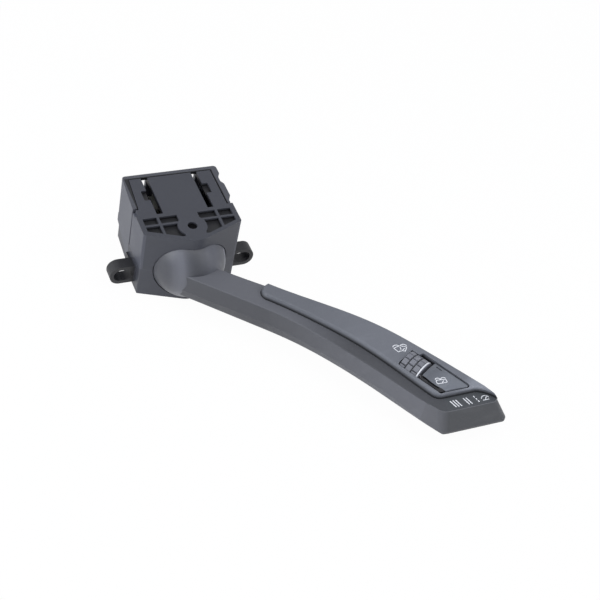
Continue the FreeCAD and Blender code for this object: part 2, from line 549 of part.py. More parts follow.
# Marked strip let into the top of the end cap
strip_plan = [(81.2, BAND_Y, 0.3), (102.8, BAND_Y, 0.3), (105.2, ARM_END_Y + 0.7, 0.8), (79.8, ARM_END_Y + 0.7, 0.8)]
strip = slab(strip_plan, LEDGE_Z - 0.7, LEDGE_Z)
marked_end_strip = strip.common(arm_outer)
stalk_end_cap = cut(stalk_end_cap, strip)

# Raised cover: outline in plan, hollow underneath
NEAR_LINE = [(24.3, -37.6), (32.6, -45.9), (43.5, -58.2), (54.2, -71.8), (61.8, -83.6), (71.0, -100.4), (75.6, -108.8)]
FAR_LINE = [(101.0, -110.8), (92.0, -97.4), (82.6, -84.0), (72.4, -70.4), (61.6, -59.0), (49.8, -48.8), (28.2, -30.5)]


def cover_wire(inset):
    # The near side slopes in fully, the far side less, and the far end runs out to the arm's tip.
    near = Part.BSplineCurve()
    far = Part.BSplineCurve()
    near_shift = N * inset
    far_shift = N * (COVER_FAR_SHIFT - inset * 0.5)
    near.interpolate([V(x, y, 0).add(near_shift) for x, y in NEAR_LINE])
    far.interpolate([V(x, y, 0).add(far_shift) for x, y in FAR_LINE])
    n0 = near.StartPoint
    n1 = near.EndPoint
    f0 = far.StartPoint
    f1 = far.EndPoint
    nose = Part.Arc(f1, V(24.3 + inset, -31.9 - inset * 0.5, 0), n0).toShape()
    end_y = BAND_Y + 0.02 + inset
    tail_end = V(f0.x + 3.4 - inset, COVER_TAIL_Y + inset * 2.0, 0)
    e1 = V(n1.x + 4.4, end_y, 0)
    e2 = V(96.5 - inset, end_y, 0)
    corner = Part.Arc(n1, V(n1.x + 1.7, end_y + 0.8, 0), e1).toShape()
    bend = Part.Arc(e2, e2.add(tail_end).multiply(0.5).add(V(0.6, 0.8, 0)), tail_end).toShape()
    return Part.Wire([near.toShape(), corner, Part.makeLine(e1, e2), bend, Part.makeLine(tail_end, f0), far.toShape(), nose])


def cover_body(inset, z0, z1, shrink):
    lower = cover_wire(inset)
    lower.translate(V(0, 0, z0))
    upper = cover_wire(inset + shrink)
    upper.translate(V(0, 0, z1))
    return Part.makeLoft([lower, upper], True, True)


def recess_plan(start, grow, skew=0.0):
    # Four-sided opening from a station on the arm's axis to the recess end, with its edges along the arm;
    # the start runs across the arm, or leans forward by skew at the far side.
    t0 = RECESS_NEAR - grow
    t1 = RECESS_FAR + grow
    end_y = RECESS_END_Y - grow
    a = at(start - grow, t0, 0)
    b = at(start - grow + skew, t1, 0)
    c = at((-end_y + t1 * N.y) / -U.y, t1, 0)
    d = at((-end_y + t0 * N.y) / -U.y, t0, 0)
    return [(a.x, a.y, 0.5), (b.x, b.y, 0.5), (c.x, c.y, 1.5), (d.x, d.y, 1.5)]


wheel_end = WHEEL_START + WHEEL_LENGTH
recess_start = WHEEL_START - 0.4
button_start = wheel_end + RING_THICK + 0.7
recess = slab(recess_plan(recess_start, 0.0, RECESS_SKEW), 2.0, 12)
recess_wall = slab(recess_plan(recess_start, COVER_WALL - 0.1, RECESS_SKEW), LEDGE_Z, 12)
cover_top = LEDGE_Z + COVER_RISE
steps = [(0.0, LEDGE_Z), (0.15, LEDGE_Z + 0.8), (0.7, cover_top - 0.7), (1.0, cover_top - 0.3), (1.6, cover_top)]
layers = []
for (in0, z0), (in1, z1) in zip(steps, steps[1:]):
    layers.append(cover_body(in0, z0, z1, in1 - in0))
cover = fuse(*layers)
cover_hollow = cut(cover_body(COVER_WALL, LEDGE_Z - 0.1, cover_top - COVER_WALL, 0.5), recess_wall)
stalk_upper_cover = cut(cover, cover_hollow)

# The wheel and the button share one recess through the cover and the shell's top wall
wheel_space = rod(at(recess_start, WHEEL_SIDE, WHEEL_Z), at(button_start, WHEEL_SIDE, WHEEL_Z), WHEEL_RADIUS + 0.35)
wheel_space = wheel_space.common(box(0, 140, -140, 0, -2, 12))
stalk_upper_cover = cut(stalk_upper_cover, recess, wheel_space)
stalk_upper_cover = max(stalk_upper_cover.Solids, key=lambda s: s.Volume)
stalk_lower_shell = cut(stalk_lower_shell, recess, wheel_space)
stalk_lower_shell = max(stalk_lower_shell.Solids, key=lambda s: s.Volume)

# Thumbwheel with rows of staggered blocks
rows = []
tread = WHEEL_LENGTH / WHEEL_ROWS
core_wheel = rod(at(WHEEL_START, WHEEL_SIDE, WHEEL_Z), at(wheel_end, WHEEL_SIDE, WHEEL_Z), WHEEL_RADIUS - 0.5)
step = 360.0 / WHEEL_TEETH
blocks = [core_wheel]
for row in range(WHEEL_ROWS):
    s0 = WHEEL_START + row * tread + WHEEL_GROOVE / 4
    pts = []
    for k in range(WHEEL_TEETH):
        base = (k + 0.5 * (row % 2)) * step
        for da, rr in ((0.0, WHEEL_RADIUS - 0.55), (0.04, WHEEL_RADIUS), (0.4, WHEEL_RADIUS), (0.76, WHEEL_RADIUS), (0.8, WHEEL_RADIUS - 0.55)):
            ang = math.radians(base + da * step)
            pts.append(at(s0, WHEEL_SIDE + rr * math.cos(ang), WHEEL_Z + rr * math.sin(ang)))
    pts.append(pts[0])
    blocks.append(Part.Face(Part.makePolygon(pts)).extrude(U * (tread - WHEEL_GROOVE / 2)))
axle_hole = rod(at(WHEEL_START - 1, WHEEL_SIDE, WHEEL_Z), at(wheel_end + 2, WHEEL_SIDE, WHEEL_Z), AXLE_D / 2)
thumbwheel = cut(blocks[0].fuse(blocks[1:]), axle_hole)
wheel_ring = rod(at(wheel_end, WHEEL_SIDE, WHEEL_Z), at(wheel_end + RING_THICK, WHEEL_SIDE, WHEEL_Z), WHEEL_RADIUS + 0.1)
wheel_ring = cut(wheel_ring, axle_hole)
wheel_axle = rod(at(WHEEL_START - 2.9, WHEEL_SIDE, WHEEL_Z), at(wheel_end + RING_THICK + 1.4, WHEEL_SIDE, WHEEL_Z), AXLE_D / 2)

# Cradle that carries the axle, standing on two bars of the arm's floor
BAR_Z = -6.2
wall_top = LEDGE_Z - ARM_WALL - 0.1
cradle_s0 = WHEEL_START - 2.8
cradle_s1 = wheel_end + RING_THICK + 1.4
cradle_base = arm_box(cradle_s0, cradle_s1, WHEEL_SIDE - 7.2, WHEEL_SIDE + 6.0, BAR_Z, BAR_Z + 1.3)
cradle_base = cut(cradle_base, rod(at(WHEEL_START - 0.4, WHEEL_SIDE, WHEEL_Z), at(wheel_end + RING_THICK + 0.2, WHEEL_SIDE, WHEEL_Z), WHEEL_RADIUS + 0.4))
cradle_a = arm_box(cradle_s0, WHEEL_START - 0.8, WHEEL_SIDE - 3.2, WHEEL_SIDE + 3.2, BAR_Z, wall_top)
cradle_b = arm_box(wheel_end + RING_THICK + 0.25, cradle_s1, WHEEL_SIDE - 3.2, WHEEL_SIDE + 3.2, BAR_Z, wall_top)
axle_r = AXLE_D / 2 + PIVOT_FIT
axle_run = rod(at(100, WHEEL_SIDE, WHEEL_Z), at(140, WHEEL_SIDE, WHEEL_Z), axle_r)
axle_entry = arm_box(100, 140, WHEEL_SIDE - axle_r, WHEEL_SIDE + axle_r, WHEEL_Z, 12)
wheel_cradle = cut(fuse(cradle_base, cradle_a, cradle_b), axle_run, axle_entry)
bars = []
for s0 in (cradle_s0, cradle_s1 - 1.2):
    bars.append(arm_box(s0, s0 + 1.2, WHEEL_SIDE - 6.6, WHEEL_SIDE + 5.6, -8.4, BAR_Z))

# Small board under the button, on posts of the shell, with a rubber dome
STALK_BOARD_Z = -1.6
stalk_board_top = STALK_BOARD_Z + 1.5
stalk_board = arm_box(button_start + 3.0, button_start + 13.6, 10.2, 26.0, STALK_BOARD_Z, stalk_board_top)
posts = []
for ds, t in ((4.4, 23.6), (11.6, 12.4), (11.6, 23.6)):
    posts.append(rod(at(button_start + ds, t, -8.4), at(button_start + ds, t, STALK_BOARD_Z), 1.4))
bosses = []
boss_holes = []
stalk_screw_list = []
for x, y in ((12.3, -25.0), (17.9, -30.0)):
    bosses.append(rod(V(x, y, -9.6), V(x, y, -4.4), 2.7))
    boss_holes.append(rod(V(x, y, -12.0), V(x, y, -4.0), 1.25))
    boss_holes.append(rod(V(x, y, -12.0), V(x, y, -7.9), 2.3))
    screw = fuse(rod(V(x, y, -9.2), V(x, y, -7.9), 2.1), rod(V(x, y, -8.0), V(x, y, 0.4), 1.2))
    screw = cut(screw, box(x - 1.3, x + 1.3, y - 0.3, y + 0.3, -10, -8.6))
    stalk_screw_list.append(screw)
    lever_core = cut(lever_core, rod(V(x, y, -6.0), V(x, y, 0.5), 1.2))
arm_space = arm_loft(0.4, 0, len(STATIONS), 2.8)
fillers = [s.common(arm_space) for s in bars + posts + bosses]
stalk_lower_shell = fuse(stalk_lower_shell, *fillers)
stalk_lower_shell = cut(stalk_lower_shell, *boss_holes)
stalk_lower_shell = max(stalk_lower_shell.Solids, key=lambda s: s.Volume)
stalk_screws = Part.makeCompound(stalk_screw_list)

# Rear wiper button: crowned and slightly saddled top, skirt down to the button's stop height
button_z0 = 3.2
button_mid = button_start + 7.1
button = slab(recess_plan(button_start + BUTTON_GAP, -BUTTON_GAP), button_z0, 9.4)
crown = rod(at(110, BUTTON_CROWN_SIDE, BUTTON_TOP - BUTTON_CROWN), at(150, BUTTON_CROWN_SIDE, BUTTON_TOP - BUTTON_CROWN), BUTTON_CROWN)
saddle = rod(at(button_mid, 0, BUTTON_TOP + 15.2), at(button_mid, 40, BUTTON_TOP + 15.2), 16.0)
button_core = arm_box(button_start + 1.6, 142.0, RECESS_NEAR + 1.6, RECESS_FAR - 1.6, 0, 6.4)
button_core = button_core.common(slab(recess_plan(button_start + 1.6, -1.6), 0, 12))
grip_near = arm_box(button_start + 1.2, button_start + 10.4, RECESS_NEAR + 1.5, RECESS_NEAR + 2.3, 7.2, 12)
grip_far = arm_box(button_start + 2.4, button_start + 5.4, RECESS_FAR - 3.1, RECESS_FAR - 2.3, 7.4, 12)
stem = rod(at(button_mid, 20.2, button_z0), at(button_mid, 20.2, 7.0), 2.0)
rear_wiper_button = fuse(cut(button.common(crown), saddle, button_core, grip_near, grip_far), stem)
rear_wiper_button = max(rear_wiper_button.Solids, key=lambda s: s.Volume)
dome_foot = at(button_mid, 20.2, stalk_board_top)
dome_rise = V(0, 0, 0.5)
button_dome = fuse(rod(dome_foot, dome_foot.add(dome_rise), 3.6),
                   Part.makeCone(3.0, 1.5, button_z0 - stalk_board_top - 0.5, dome_foot.add(dome_rise), V(0, 0, 1)))
button_dome = cut(button_dome, Part.makeCone(2.4, 0.9, 2.2, dome_foot, V(0, 0, 1)))

# Flat ribbon along the arm's floor, ending in a plug under the small board
ribbon_wires = []
for near, far, low, flare, spread in STATIONS[3:10]:
    a = V(near[0], near[1], 0)
    across = V(far[0], far[1], 0).sub(a)
    across.normalize()
    p = a.add(across * 2.8)
    q = a.add(across * 5.8)
    z0 = low + ARM_WALL + 0.12
    ribbon_wires.append(Part.makePolygon([p + V(0, 0, z0), q + V(0, 0, z0), q + V(0, 0, z0 + 0.4),
                                          p + V(0, 0, z0 + 0.4), p + V(0, 0, z0)]))
stalk_ribbon = Part.makeLoft(ribbon_wires, True, True)
stalk_ribbon = cut(stalk_ribbon, arm)
stalk_ribbon = max(stalk_ribbon.Solids, key=lambda s: s.Volume)
plug = arm_box(125.8, 128.0, 9.4, 12.6, -6.6, STALK_BOARD_Z)
plug = cut(plug, stalk_ribbon)
stalk_ribbon_plug = max(plug.Solids, key=lambda s: s.Volume)

PIECES = {
    "rear_housing": rear_housing,
    "top_cover": top_cover,
    "lower_housing": lower_housing,
    "housing_screws": housing_screws,
    "circuit_board": circuit_board,
    "board_chips": board_chips,
    "connector_shroud": connector_shroud,
    "connector_pins": connector_pins,
    "centring_cam": centring_cam,
    "slider_guide": slider_guide,
    "contact_slider": contact_slider,
    "contact_springs": contact_springs,
    "swing_yoke": swing_yoke,
    "ball_cover": ball_cover,
    "lever_core": lever_core,
    "tilt_pins": tilt_pins,
    "cam_plunger": cam_plunger,
    "plunger_spring": plunger_spring,
    "stalk_lower_shell": stalk_lower_shell,
    "stalk_upper_cover": stalk_upper_cover,
    "stalk_end_cap": stalk_end_cap,
    "marked_end_strip": marked_end_strip,
    "stalk_screws": stalk_screws,
    "wheel_cradle": wheel_cradle,
    "thumbwheel": thumbwheel,
    "wheel_ring": wheel_ring,
    "wheel_axle": wheel_axle,
    "rear_wiper_button": rear_wiper_button,
    "button_dome": button_dome,
    "stalk_board": stalk_board,
    "stalk_ribbon": stalk_ribbon,
    "stalk_ribbon_plug": stalk_ribbon_plug,
}
for name, shape in PIECES.items():
    export(name, shape)
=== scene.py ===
import bpy
import bmesh
import math
from mathutils import Matrix, Vector
from mathutils.bvhtree import BVHTree


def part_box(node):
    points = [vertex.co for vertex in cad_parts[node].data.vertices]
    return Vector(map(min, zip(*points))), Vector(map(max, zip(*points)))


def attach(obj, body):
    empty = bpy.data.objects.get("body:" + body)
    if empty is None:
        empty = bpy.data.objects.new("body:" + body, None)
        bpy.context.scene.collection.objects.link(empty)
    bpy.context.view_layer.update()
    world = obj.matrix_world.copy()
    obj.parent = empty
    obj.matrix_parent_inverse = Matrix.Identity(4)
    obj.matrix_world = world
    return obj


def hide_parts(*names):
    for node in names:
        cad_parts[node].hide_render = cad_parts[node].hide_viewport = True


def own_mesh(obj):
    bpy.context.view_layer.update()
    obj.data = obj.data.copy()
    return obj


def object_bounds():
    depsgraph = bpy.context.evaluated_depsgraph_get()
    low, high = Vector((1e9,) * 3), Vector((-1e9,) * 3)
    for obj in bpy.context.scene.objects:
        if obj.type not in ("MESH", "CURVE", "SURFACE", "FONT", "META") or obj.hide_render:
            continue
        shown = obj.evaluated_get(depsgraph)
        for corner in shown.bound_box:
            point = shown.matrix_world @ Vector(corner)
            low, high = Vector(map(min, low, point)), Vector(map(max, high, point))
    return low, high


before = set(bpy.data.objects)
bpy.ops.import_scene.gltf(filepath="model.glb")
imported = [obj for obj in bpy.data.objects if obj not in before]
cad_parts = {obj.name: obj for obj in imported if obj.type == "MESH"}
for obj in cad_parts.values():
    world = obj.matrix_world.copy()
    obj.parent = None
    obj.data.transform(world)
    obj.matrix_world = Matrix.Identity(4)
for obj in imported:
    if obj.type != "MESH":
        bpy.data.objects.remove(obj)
CAD_BOX = [list(c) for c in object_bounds()]

bl_info = {
    "name": "Wiper stalk switch finish",
    "version": (1, 0, 0),
    "blender": (4, 5, 0),
    "location": "3D View > Sidebar > Stalk Switch",
    "description": "Dresses the stalk switch with plastics, printed symbols, a wheel tread and a studio",
    "category": "Object",
}

# The stalk's pivot in the row's frame, and the directions along and across the stalk's end
MM = 0.001
PIVOT = Vector((0.0, -0.0092, 0.0081))
END_ANGLE = math.radians(30)
ALONG = Vector((math.sin(END_ANGLE), -math.cos(END_ANGLE), 0.0))
ACROSS = Vector((math.cos(END_ANGLE), math.sin(END_ANGLE), 0.0))
SIDE = Vector((1, 0, 0))
BACK = Vector((0, 1, 0))
UP = Vector((0, 0, 1))

# Places on the case, in millimetres from the pivot; all but EAR_ROOT bound painted shade and painted light
RIM_TOP = 20.9
RIM_INNER_LEVEL = 19.0
RIM_INNER = 21.8
RIM_REAR = 36.3
PLATE_TOP = 21.3
PLATE_EDGE = 21.1
FLANK = 22.4
SEAM = (15.0, 16.2)
SEAM_FOOT = -12.0
CELL_LEVEL = PLATE_TOP - 0.7
CELL_HALF_WIDTH = 22.2
CELL_FRONT = -9.7
CELL_SLANT = 0.404
EAR_ROOT = 24.3

# Places on the stalk, in millimetres from the pivot; all but the wheel's bound painted shade and painted
# light
ARM_PAINTED_SHADE_END = 94
ARM_PAINTED_LIGHT_START = 95
LEDGE = 4.8
LEDGE_PAINTED_SHADE_START = 60
COVER_FOOT = 7.1
COVER_BODY = 7.0
COVER_PAINTED_SHADE_END = 92
COVER_PAINTED_LIGHT_START = 138
CAP_START = 134
CAP_TOP_EDGE = (4.65, 5.12)
CAP_CORNER = 10.0
BUTTON_SHADE = (100, 132)
BUTTON_GROOVES = ((13.0, 15.8), (26.7, 28.5))
WHEEL_START = 111.8
WHEEL_SIDE = 19.7
WHEEL_Z = 2.0
RING_FLANK = (121.64, 123)

# A distance past every piece, in millimetres, for a band that is open to one side
FAR = 400

# The ball's painted sheen, bands of painted highlight and painted shade: gain of its colour, start and end
# to the side in millimetres, soft edge in metres
BALL_PAINTED_SHEEN = (
    (0.78, -FAR, -11.5, 0.0025),
    (1.42, -12.5, -3.5, 0.0036),
    (0.68, -7.5, 4.5, 0.0050),
    (1.22, 3.0, 12.0, 0.0028),
    (2.0, 14.4, FAR, 0.0008),
)

# The soft pieces: node, slot, finish, joint, axis, a place on that axis, travel
SOFT_PIECES = (
    ("button_dome", "dome_rubber", "DomeRubber", "button_press", 2, 0.0080, 0.0012),
    ("plunger_spring", "spring_steel", "DrawnSteel", "cam_plunger_slide", 1, 0.0021, 0.0012),
)

# Wheel tread, in metres: a block's rounding and root, the drum's chamfer and the radius of its axle hole
BLOCK_ROUNDING = 0.00016
BLOCK_ROOT = 0.0003
DRUM_CHAMFER = 0.0002
DRUM_HOLE = 0.0012
DRUM_STEPS = 72

# Printing, in metres: the film's depth under its surface, a line's longest step, a height over the object
FILM_SINK = 0.00002
LINE_STEP = 0.0006
ABOVE_ALL = 0.08

# Studio, in metres
FLOOR_GAP = 0.0005
FLOOR_NEAR = -1.6
FLOOR_BEND = 0.9
BEND_RADIUS = 0.5
BACKDROP_HEIGHT = 1.6
FLOOR_HALF_WIDTH = 2.2

# The camera's place, and its right and up directions
CAMERA_AT = (-0.183877, -0.404063, 0.424572)
CAMERA_RIGHT = (0.91126, -0.371989, 0.176718)
CAMERA_UP = (0.15425, 0.706157, 0.691049)


def pt(x, y, z):
    """A point given in millimetres from the pivot."""
    return PIVOT + Vector((x, y, z)) * MM


# Settings shown in the sidebar

def colour(name, text, rgb):
    return bpy.props.FloatVectorProperty(name=name, description=text, subtype="COLOR", size=3,
                                         min=0, max=1, default=rgb)


def distance(name, text, metres, **limits):
    return bpy.props.FloatProperty(name=name, description=text, subtype="DISTANCE", unit="LENGTH",
                                   default=metres, **limits)


def count(name, text, number, least):
    return bpy.props.IntProperty(name=name, description=text, default=number, min=least)


def power(name, text, watts):
    return bpy.props.FloatProperty(name=name, description=text, unit="POWER", default=watts, min=0)


class PlasticSettings(bpy.types.PropertyGroup):
    rear: colour("Rear housing", "Moulded plastic of the side and back walls", (0.106, 0.110, 0.130))
    front: colour("Top cover", "Moulded plastic of the ribbed plate and the nose", (0.054, 0.057, 0.071))
    tray: colour("Lower housing", "Plastic of the tray under the parting line", (0.056, 0.059, 0.073))
    ears: colour("Fixing ears", "Black plastic of the two fixing ears", (0.021, 0.021, 0.024))
    # Painted shade: this colour darkens the slots, rib cells, narrow gaps, the seam and the button's
    # grooves where shade falls
    recess_shade: colour("Deep places", "Tone of the slots, rib cells and narrow gaps", (0.010, 0.010, 0.012))
    ball: colour("Ball", "Satin plastic of the ball cover", (0.098, 0.101, 0.116))
    arm: colour("Stalk", "Fine-grained plastic of the arm", (0.116, 0.119, 0.134))
    cover: colour("Raised cover", "Fine-grained plastic of the raised cover", (0.152, 0.160, 0.182))
    cap: colour("End cap", "Fine-grained plastic of the arm's end", (0.060, 0.063, 0.070))
    strip: colour("Marked strip", "Semi-gloss plastic behind the step marks", (0.060, 0.065, 0.071))
    wheel: colour("Thumbwheel", "Plastic of the tread blocks", (0.185, 0.190, 0.215))
    button: colour("Button", "Satin plastic of the rear window button", (0.158, 0.170, 0.195))
    ink: colour("Ink", "White print of the symbols and marks", (0.80, 0.81, 0.84))
    grain: distance("Grain size", "Size of the moulded grain", 0.00035, min=0.0001)


class TreadSettings(bpy.types.PropertyGroup):
    radius: distance("Wheel radius", "Radius over the tread blocks", 0.0077)
    depth: distance("Block height", "Height of the blocks over the drum", 0.0006)
    length: distance("Tread length", "Length of the drum along its axle", 0.0093)
    rows: count("Rows", "Rows of blocks along the axle", 3, 1)
    blocks: count("Blocks", "Blocks round each row", 14, 6)
    gap: distance("Gap", "Gap between blocks", 0.00055)


class PrintSettings(bpy.types.PropertyGroup):
    stroke: distance("Stroke", "Width of the printed lines of the symbols", 0.00036)
    bar: distance("Bar width", "Width of the step marks", 0.00050)
    pitch: distance("Bar pitch", "Distance between neighbouring bars", 0.0014)
    film: distance("Ink film", "Thickness of the ink film", 0.00003)


class StudioSettings(bpy.types.PropertyGroup):
    lens: bpy.props.FloatProperty(name="Lens", description="Focal length on a 36 mm wide sensor",
                                  default=76.716, min=10)
    key: power("Key lamp", "Power of the large lamp at the left", 3.9)
    fill: power("Fill lamp", "Power of the lamp on the right", 1.6)
    top: power("Top lamp", "Power of the lamp overhead", 2.6)
    floor: colour("Floor", "Pale floor and backdrop", (0.92, 0.92, 0.92))


GROUPS = {
    "stalk_plastics": PlasticSettings,
    "stalk_tread": TreadSettings,
    "stalk_print": PrintSettings,
    "stalk_studio": StudioSettings,
}


# Shader nodes

MID_GREY = (0.1, 0.1, 0.1, 1)
DARK_GREY = (0.02, 0.02, 0.02, 1)
COLOUR_OUT = ("Colour", "Color")
ROUGH_OUT = ("Roughness", "Float")
HEIGHT_OUT = ("Height", "Float")


def new_group(name, inputs, outputs):
    """An empty shader group with its input node and its output node."""
    tree = bpy.data.node_groups.new(name, "ShaderNodeTree")
    for label, kind, value in inputs:
        sock = tree.interface.new_socket(label, in_out="INPUT", socket_type="NodeSocket" + kind)
        sock.default_value = value
    for label, kind in outputs:
        tree.interface.new_socket(label, in_out="OUTPUT", socket_type="NodeSocket" + kind)
    return tree, tree.nodes.new("NodeGroupInput"), tree.nodes.new("NodeGroupOutput")


def put(tree, value, sock):
    """Links another socket, or sets a plain number."""
    if isinstance(value, (int, float)):
        sock.default_value = value
    else:
        tree.links.new(value, sock)


def math_node(tree, op, a, b=0.0):
    node = tree.nodes.new("ShaderNodeMath")
    node.operation = op
    put(tree, a, node.inputs[0])
    put(tree, b, node.inputs[1])
    return node.outputs[0]


def object_point(tree):
    return tree.nodes.new("ShaderNodeTexCoord").outputs["Object"]


def noise(tree, point, scale, detail):
    node = tree.nodes.new("ShaderNodeTexNoise")
    tree.links.new(point, node.inputs["Vector"])
    put(tree, scale, node.inputs["Scale"])
    node.inputs["Detail"].default_value = detail
    return node.outputs["Fac"]


def dot_product(tree, a, b):
    node = tree.nodes.new("ShaderNodeVectorMath")
    node.operation = "DOT_PRODUCT"
    tree.links.new(a, node.inputs[0])
    tree.links.new(b, node.inputs[1])
    return node.outputs["Value"]


def scaled(tree, tint, gain):
    """The colour times a gain."""
    node = tree.nodes.new("ShaderNodeVectorMath")
    node.operation = "SCALE"
    tree.links.new(tint, node.inputs[0])
    tree.links.new(gain, node.inputs["Scale"])
    return node.outputs["Vector"]


def past_zero(tree, value, soft):
    """0 up to a value of zero, then a rise to 1 over the soft width."""
    node = tree.nodes.new("ShaderNodeMapRange")
    tree.links.new(value, node.inputs["Value"])
    put(tree, soft, node.inputs["From Max"])
    return node.outputs["Result"]


def second_tone(tree, gin, gout, share):
    """Mixes the group's Tone over its Colour by the share."""
    node = tree.nodes.new("ShaderNodeMix")
    node.data_type = "RGBA"
    tree.links.new(share, node.inputs[0])
    tree.links.new(gin.outputs["Colour"], node.inputs[6])
    tree.links.new(gin.outputs["Tone"], node.inputs[7])
    tree.links.new(node.outputs[2], gout.inputs["Colour"])


def worn(tree, gin, gout, mask, lift, smoothing):
    """Brightens and smooths the surface where the mask is."""
    gain = math_node(tree, "ADD", math_node(tree, "MULTIPLY", mask, lift), 1.0)
    tree.links.new(scaled(tree, gin.outputs["Colour"], gain), gout.inputs["Colour"])
    less = math_node(tree, "MULTIPLY", mask, smoothing)
    rough = math_node(tree, "SUBTRACT", gin.outputs["Roughness"], less)
    tree.links.new(rough, gout.inputs["Roughness"])


# Shader groups shared by the materials

def grain_group():
    """Moulded grain: a fine leathery height, and faint clouds of colour and roughness."""
    tree, gin, gout = new_group(
        "MouldedGrain",
        [("Colour", "Color", MID_GREY), ("Size", "Float", 0.00035), ("Cloud", "Float", 0.12),
         ("Gloss", "Float", 0.5)],
        [COLOUR_OUT, ROUGH_OUT, HEIGHT_OUT])
    link = tree.links.new
    point = object_point(tree)
    inverse = math_node(tree, "DIVIDE", 1.0, gin.outputs["Size"])
    cells = tree.nodes.new("ShaderNodeTexVoronoi")
    cells.feature = "SMOOTH_F1"
    link(point, cells.inputs["Vector"])
    link(inverse, cells.inputs["Scale"])
    fine = noise(tree, point, math_node(tree, "MULTIPLY", inverse, 2.2), 2.0)
    leather = math_node(tree, "MULTIPLY", cells.outputs["Distance"], 0.7)
    link(math_node(tree, "ADD", leather, math_node(tree, "MULTIPLY", fine, 0.3)), gout.inputs["Height"])
    centred = math_node(tree, "SUBTRACT", noise(tree, point, 55.0, 5.0), 0.5)
    sway = math_node(tree, "MULTIPLY", centred, gin.outputs["Cloud"])
    speck = math_node(tree, "MULTIPLY", math_node(tree, "SUBTRACT", fine, 0.5), 0.10)
    gain = math_node(tree, "ADD", math_node(tree, "ADD", sway, speck), 1.0)
    link(scaled(tree, gin.outputs["Colour"], gain), gout.inputs["Colour"])
    rough = math_node(tree, "ADD", gin.outputs["Gloss"], math_node(tree, "MULTIPLY", centred, 0.25))
    link(rough, gout.inputs["Roughness"])
    return tree


def rub_group():
    """Handling wear: smooth, slightly brighter patches that break up a satin surface."""
    tree, gin, gout = new_group(
        "HandlingRub",
        [("Colour", "Color", MID_GREY), ("Roughness", "Float", 0.5), ("Amount", "Float", 0.3)],
        [COLOUR_OUT, ROUGH_OUT])
    link = tree.links.new
    streak = tree.nodes.new("ShaderNodeMapping")
    streak.inputs["Rotation"].default_value = (0, 0, math.radians(-55))
    streak.inputs["Scale"].default_value = (60, 260, 160)
    link(object_point(tree), streak.inputs["Vector"])
    patches = tree.nodes.new("ShaderNodeValToRGB")
    patches.color_ramp.elements[0].position = 0.52
    patches.color_ramp.elements[1].position = 0.74
    link(noise(tree, streak.outputs["Vector"], 1.0, 6.0), patches.inputs["Fac"])
    mask = math_node(tree, "MULTIPLY", patches.outputs["Color"], gin.outputs["Amount"])
    worn(tree, gin, gout, mask, 0.25, 0.35)
    return tree


def edge_group():
    """Edge wear: edges turn paler and smoother where the rounded normal leaves the true one."""
    tree, gin, gout = new_group(
        "EdgeWear",
        [("Colour", "Color", MID_GREY), ("Roughness", "Float", 0.5), ("Width", "Float", 0.0004),
         ("Lift", "Float", 0.5)],
        [COLOUR_OUT, ROUGH_OUT])
    link = tree.links.new
    bevel = tree.nodes.new("ShaderNodeBevel")
    bevel.samples = 4
    link(gin.outputs["Width"], bevel.inputs["Radius"])
    true = tree.nodes.new("ShaderNodeNewGeometry")
    turned = dot_product(tree, bevel.outputs[0], true.outputs["Normal"])
    edge = tree.nodes.new("ShaderNodeMapRange")
    edge.inputs["From Min"].default_value = 0.02
    edge.inputs["From Max"].default_value = 0.30
    link(math_node(tree, "SUBTRACT", 1.0, turned), edge.inputs["Value"])
    broken = math_node(tree, "ADD", noise(tree, object_point(tree), 420.0, 4.0), 0.35)
    mask = math_node(tree, "MINIMUM", math_node(tree, "MULTIPLY", edge.outputs["Result"], broken), 1.0)
    worn(tree, gin, gout, mask, gin.outputs["Lift"], 0.12)
    return tree


def zone_group():
    """Second tone beyond a side distance, or under a level, behind a slanted front and inside the walls."""
    tree, gin, gout = new_group(
        "ZoneTone",
        [("Colour", "Color", MID_GREY), ("Tone", "Color", DARK_GREY), ("Side", "Float", 1.0),
         ("Inside", "Float", 1.0), ("Level", "Float", -1.0), ("Front", "Float", 0.0),
         ("Slant", "Float", 0.0), ("Soft", "Float", 0.0003)],
        [COLOUR_OUT])
    given = gin.outputs
    axes = tree.nodes.new("ShaderNodeSeparateXYZ")
    tree.links.new(object_point(tree), axes.inputs[0])
    side = math_node(tree, "ABSOLUTE", axes.outputs["X"])
    face = math_node(tree, "ADD", given["Front"], math_node(tree, "MULTIPLY", side, given["Slant"]))
    outer, under, behind, within = [
        past_zero(tree, math_node(tree, "SUBTRACT", a, b), given["Soft"])
        for a, b in ((side, given["Side"]), (given["Level"], axes.outputs["Z"]),
                     (axes.outputs["Y"], face), (given["Inside"], side))]
    sunk_shade = math_node(tree, "MULTIPLY", math_node(tree, "MULTIPLY", under, behind), within)
    second_tone(tree, gin, gout, math_node(tree, "MAXIMUM", outer, sunk_shade))
    return tree


def band_group():
    """Second tone between two planes across a direction, over one level and under another."""
    tree, gin, gout = new_group(
        "BandTone",
        [("Colour", "Color", MID_GREY), ("Tone", "Color", DARK_GREY),
         ("Direction", "Vector", (1.0, 0.0, 0.0)), ("From", "Float", 0.0), ("To", "Float", 0.001),
         ("Soft", "Float", 0.0002),
         ("Above", "Float", -1.0), ("Below", "Float", 1.0)],
        [COLOUR_OUT])
    given = gin.outputs
    level_soft = 0.0002
    point = object_point(tree)
    axes = tree.nodes.new("ShaderNodeSeparateXYZ")
    tree.links.new(point, axes.inputs[0])
    run = dot_product(tree, point, given["Direction"])
    height = axes.outputs["Z"]
    share = 1.0
    for a, b, soft in ((run, given["From"], given["Soft"]), (given["To"], run, given["Soft"]),
                       (height, given["Above"], level_soft), (given["Below"], height, level_soft)):
        inside = past_zero(tree, math_node(tree, "SUBTRACT", a, b), soft)
        share = math_node(tree, "MULTIPLY", inside, share)
    second_tone(tree, gin, gout, share)
    return tree


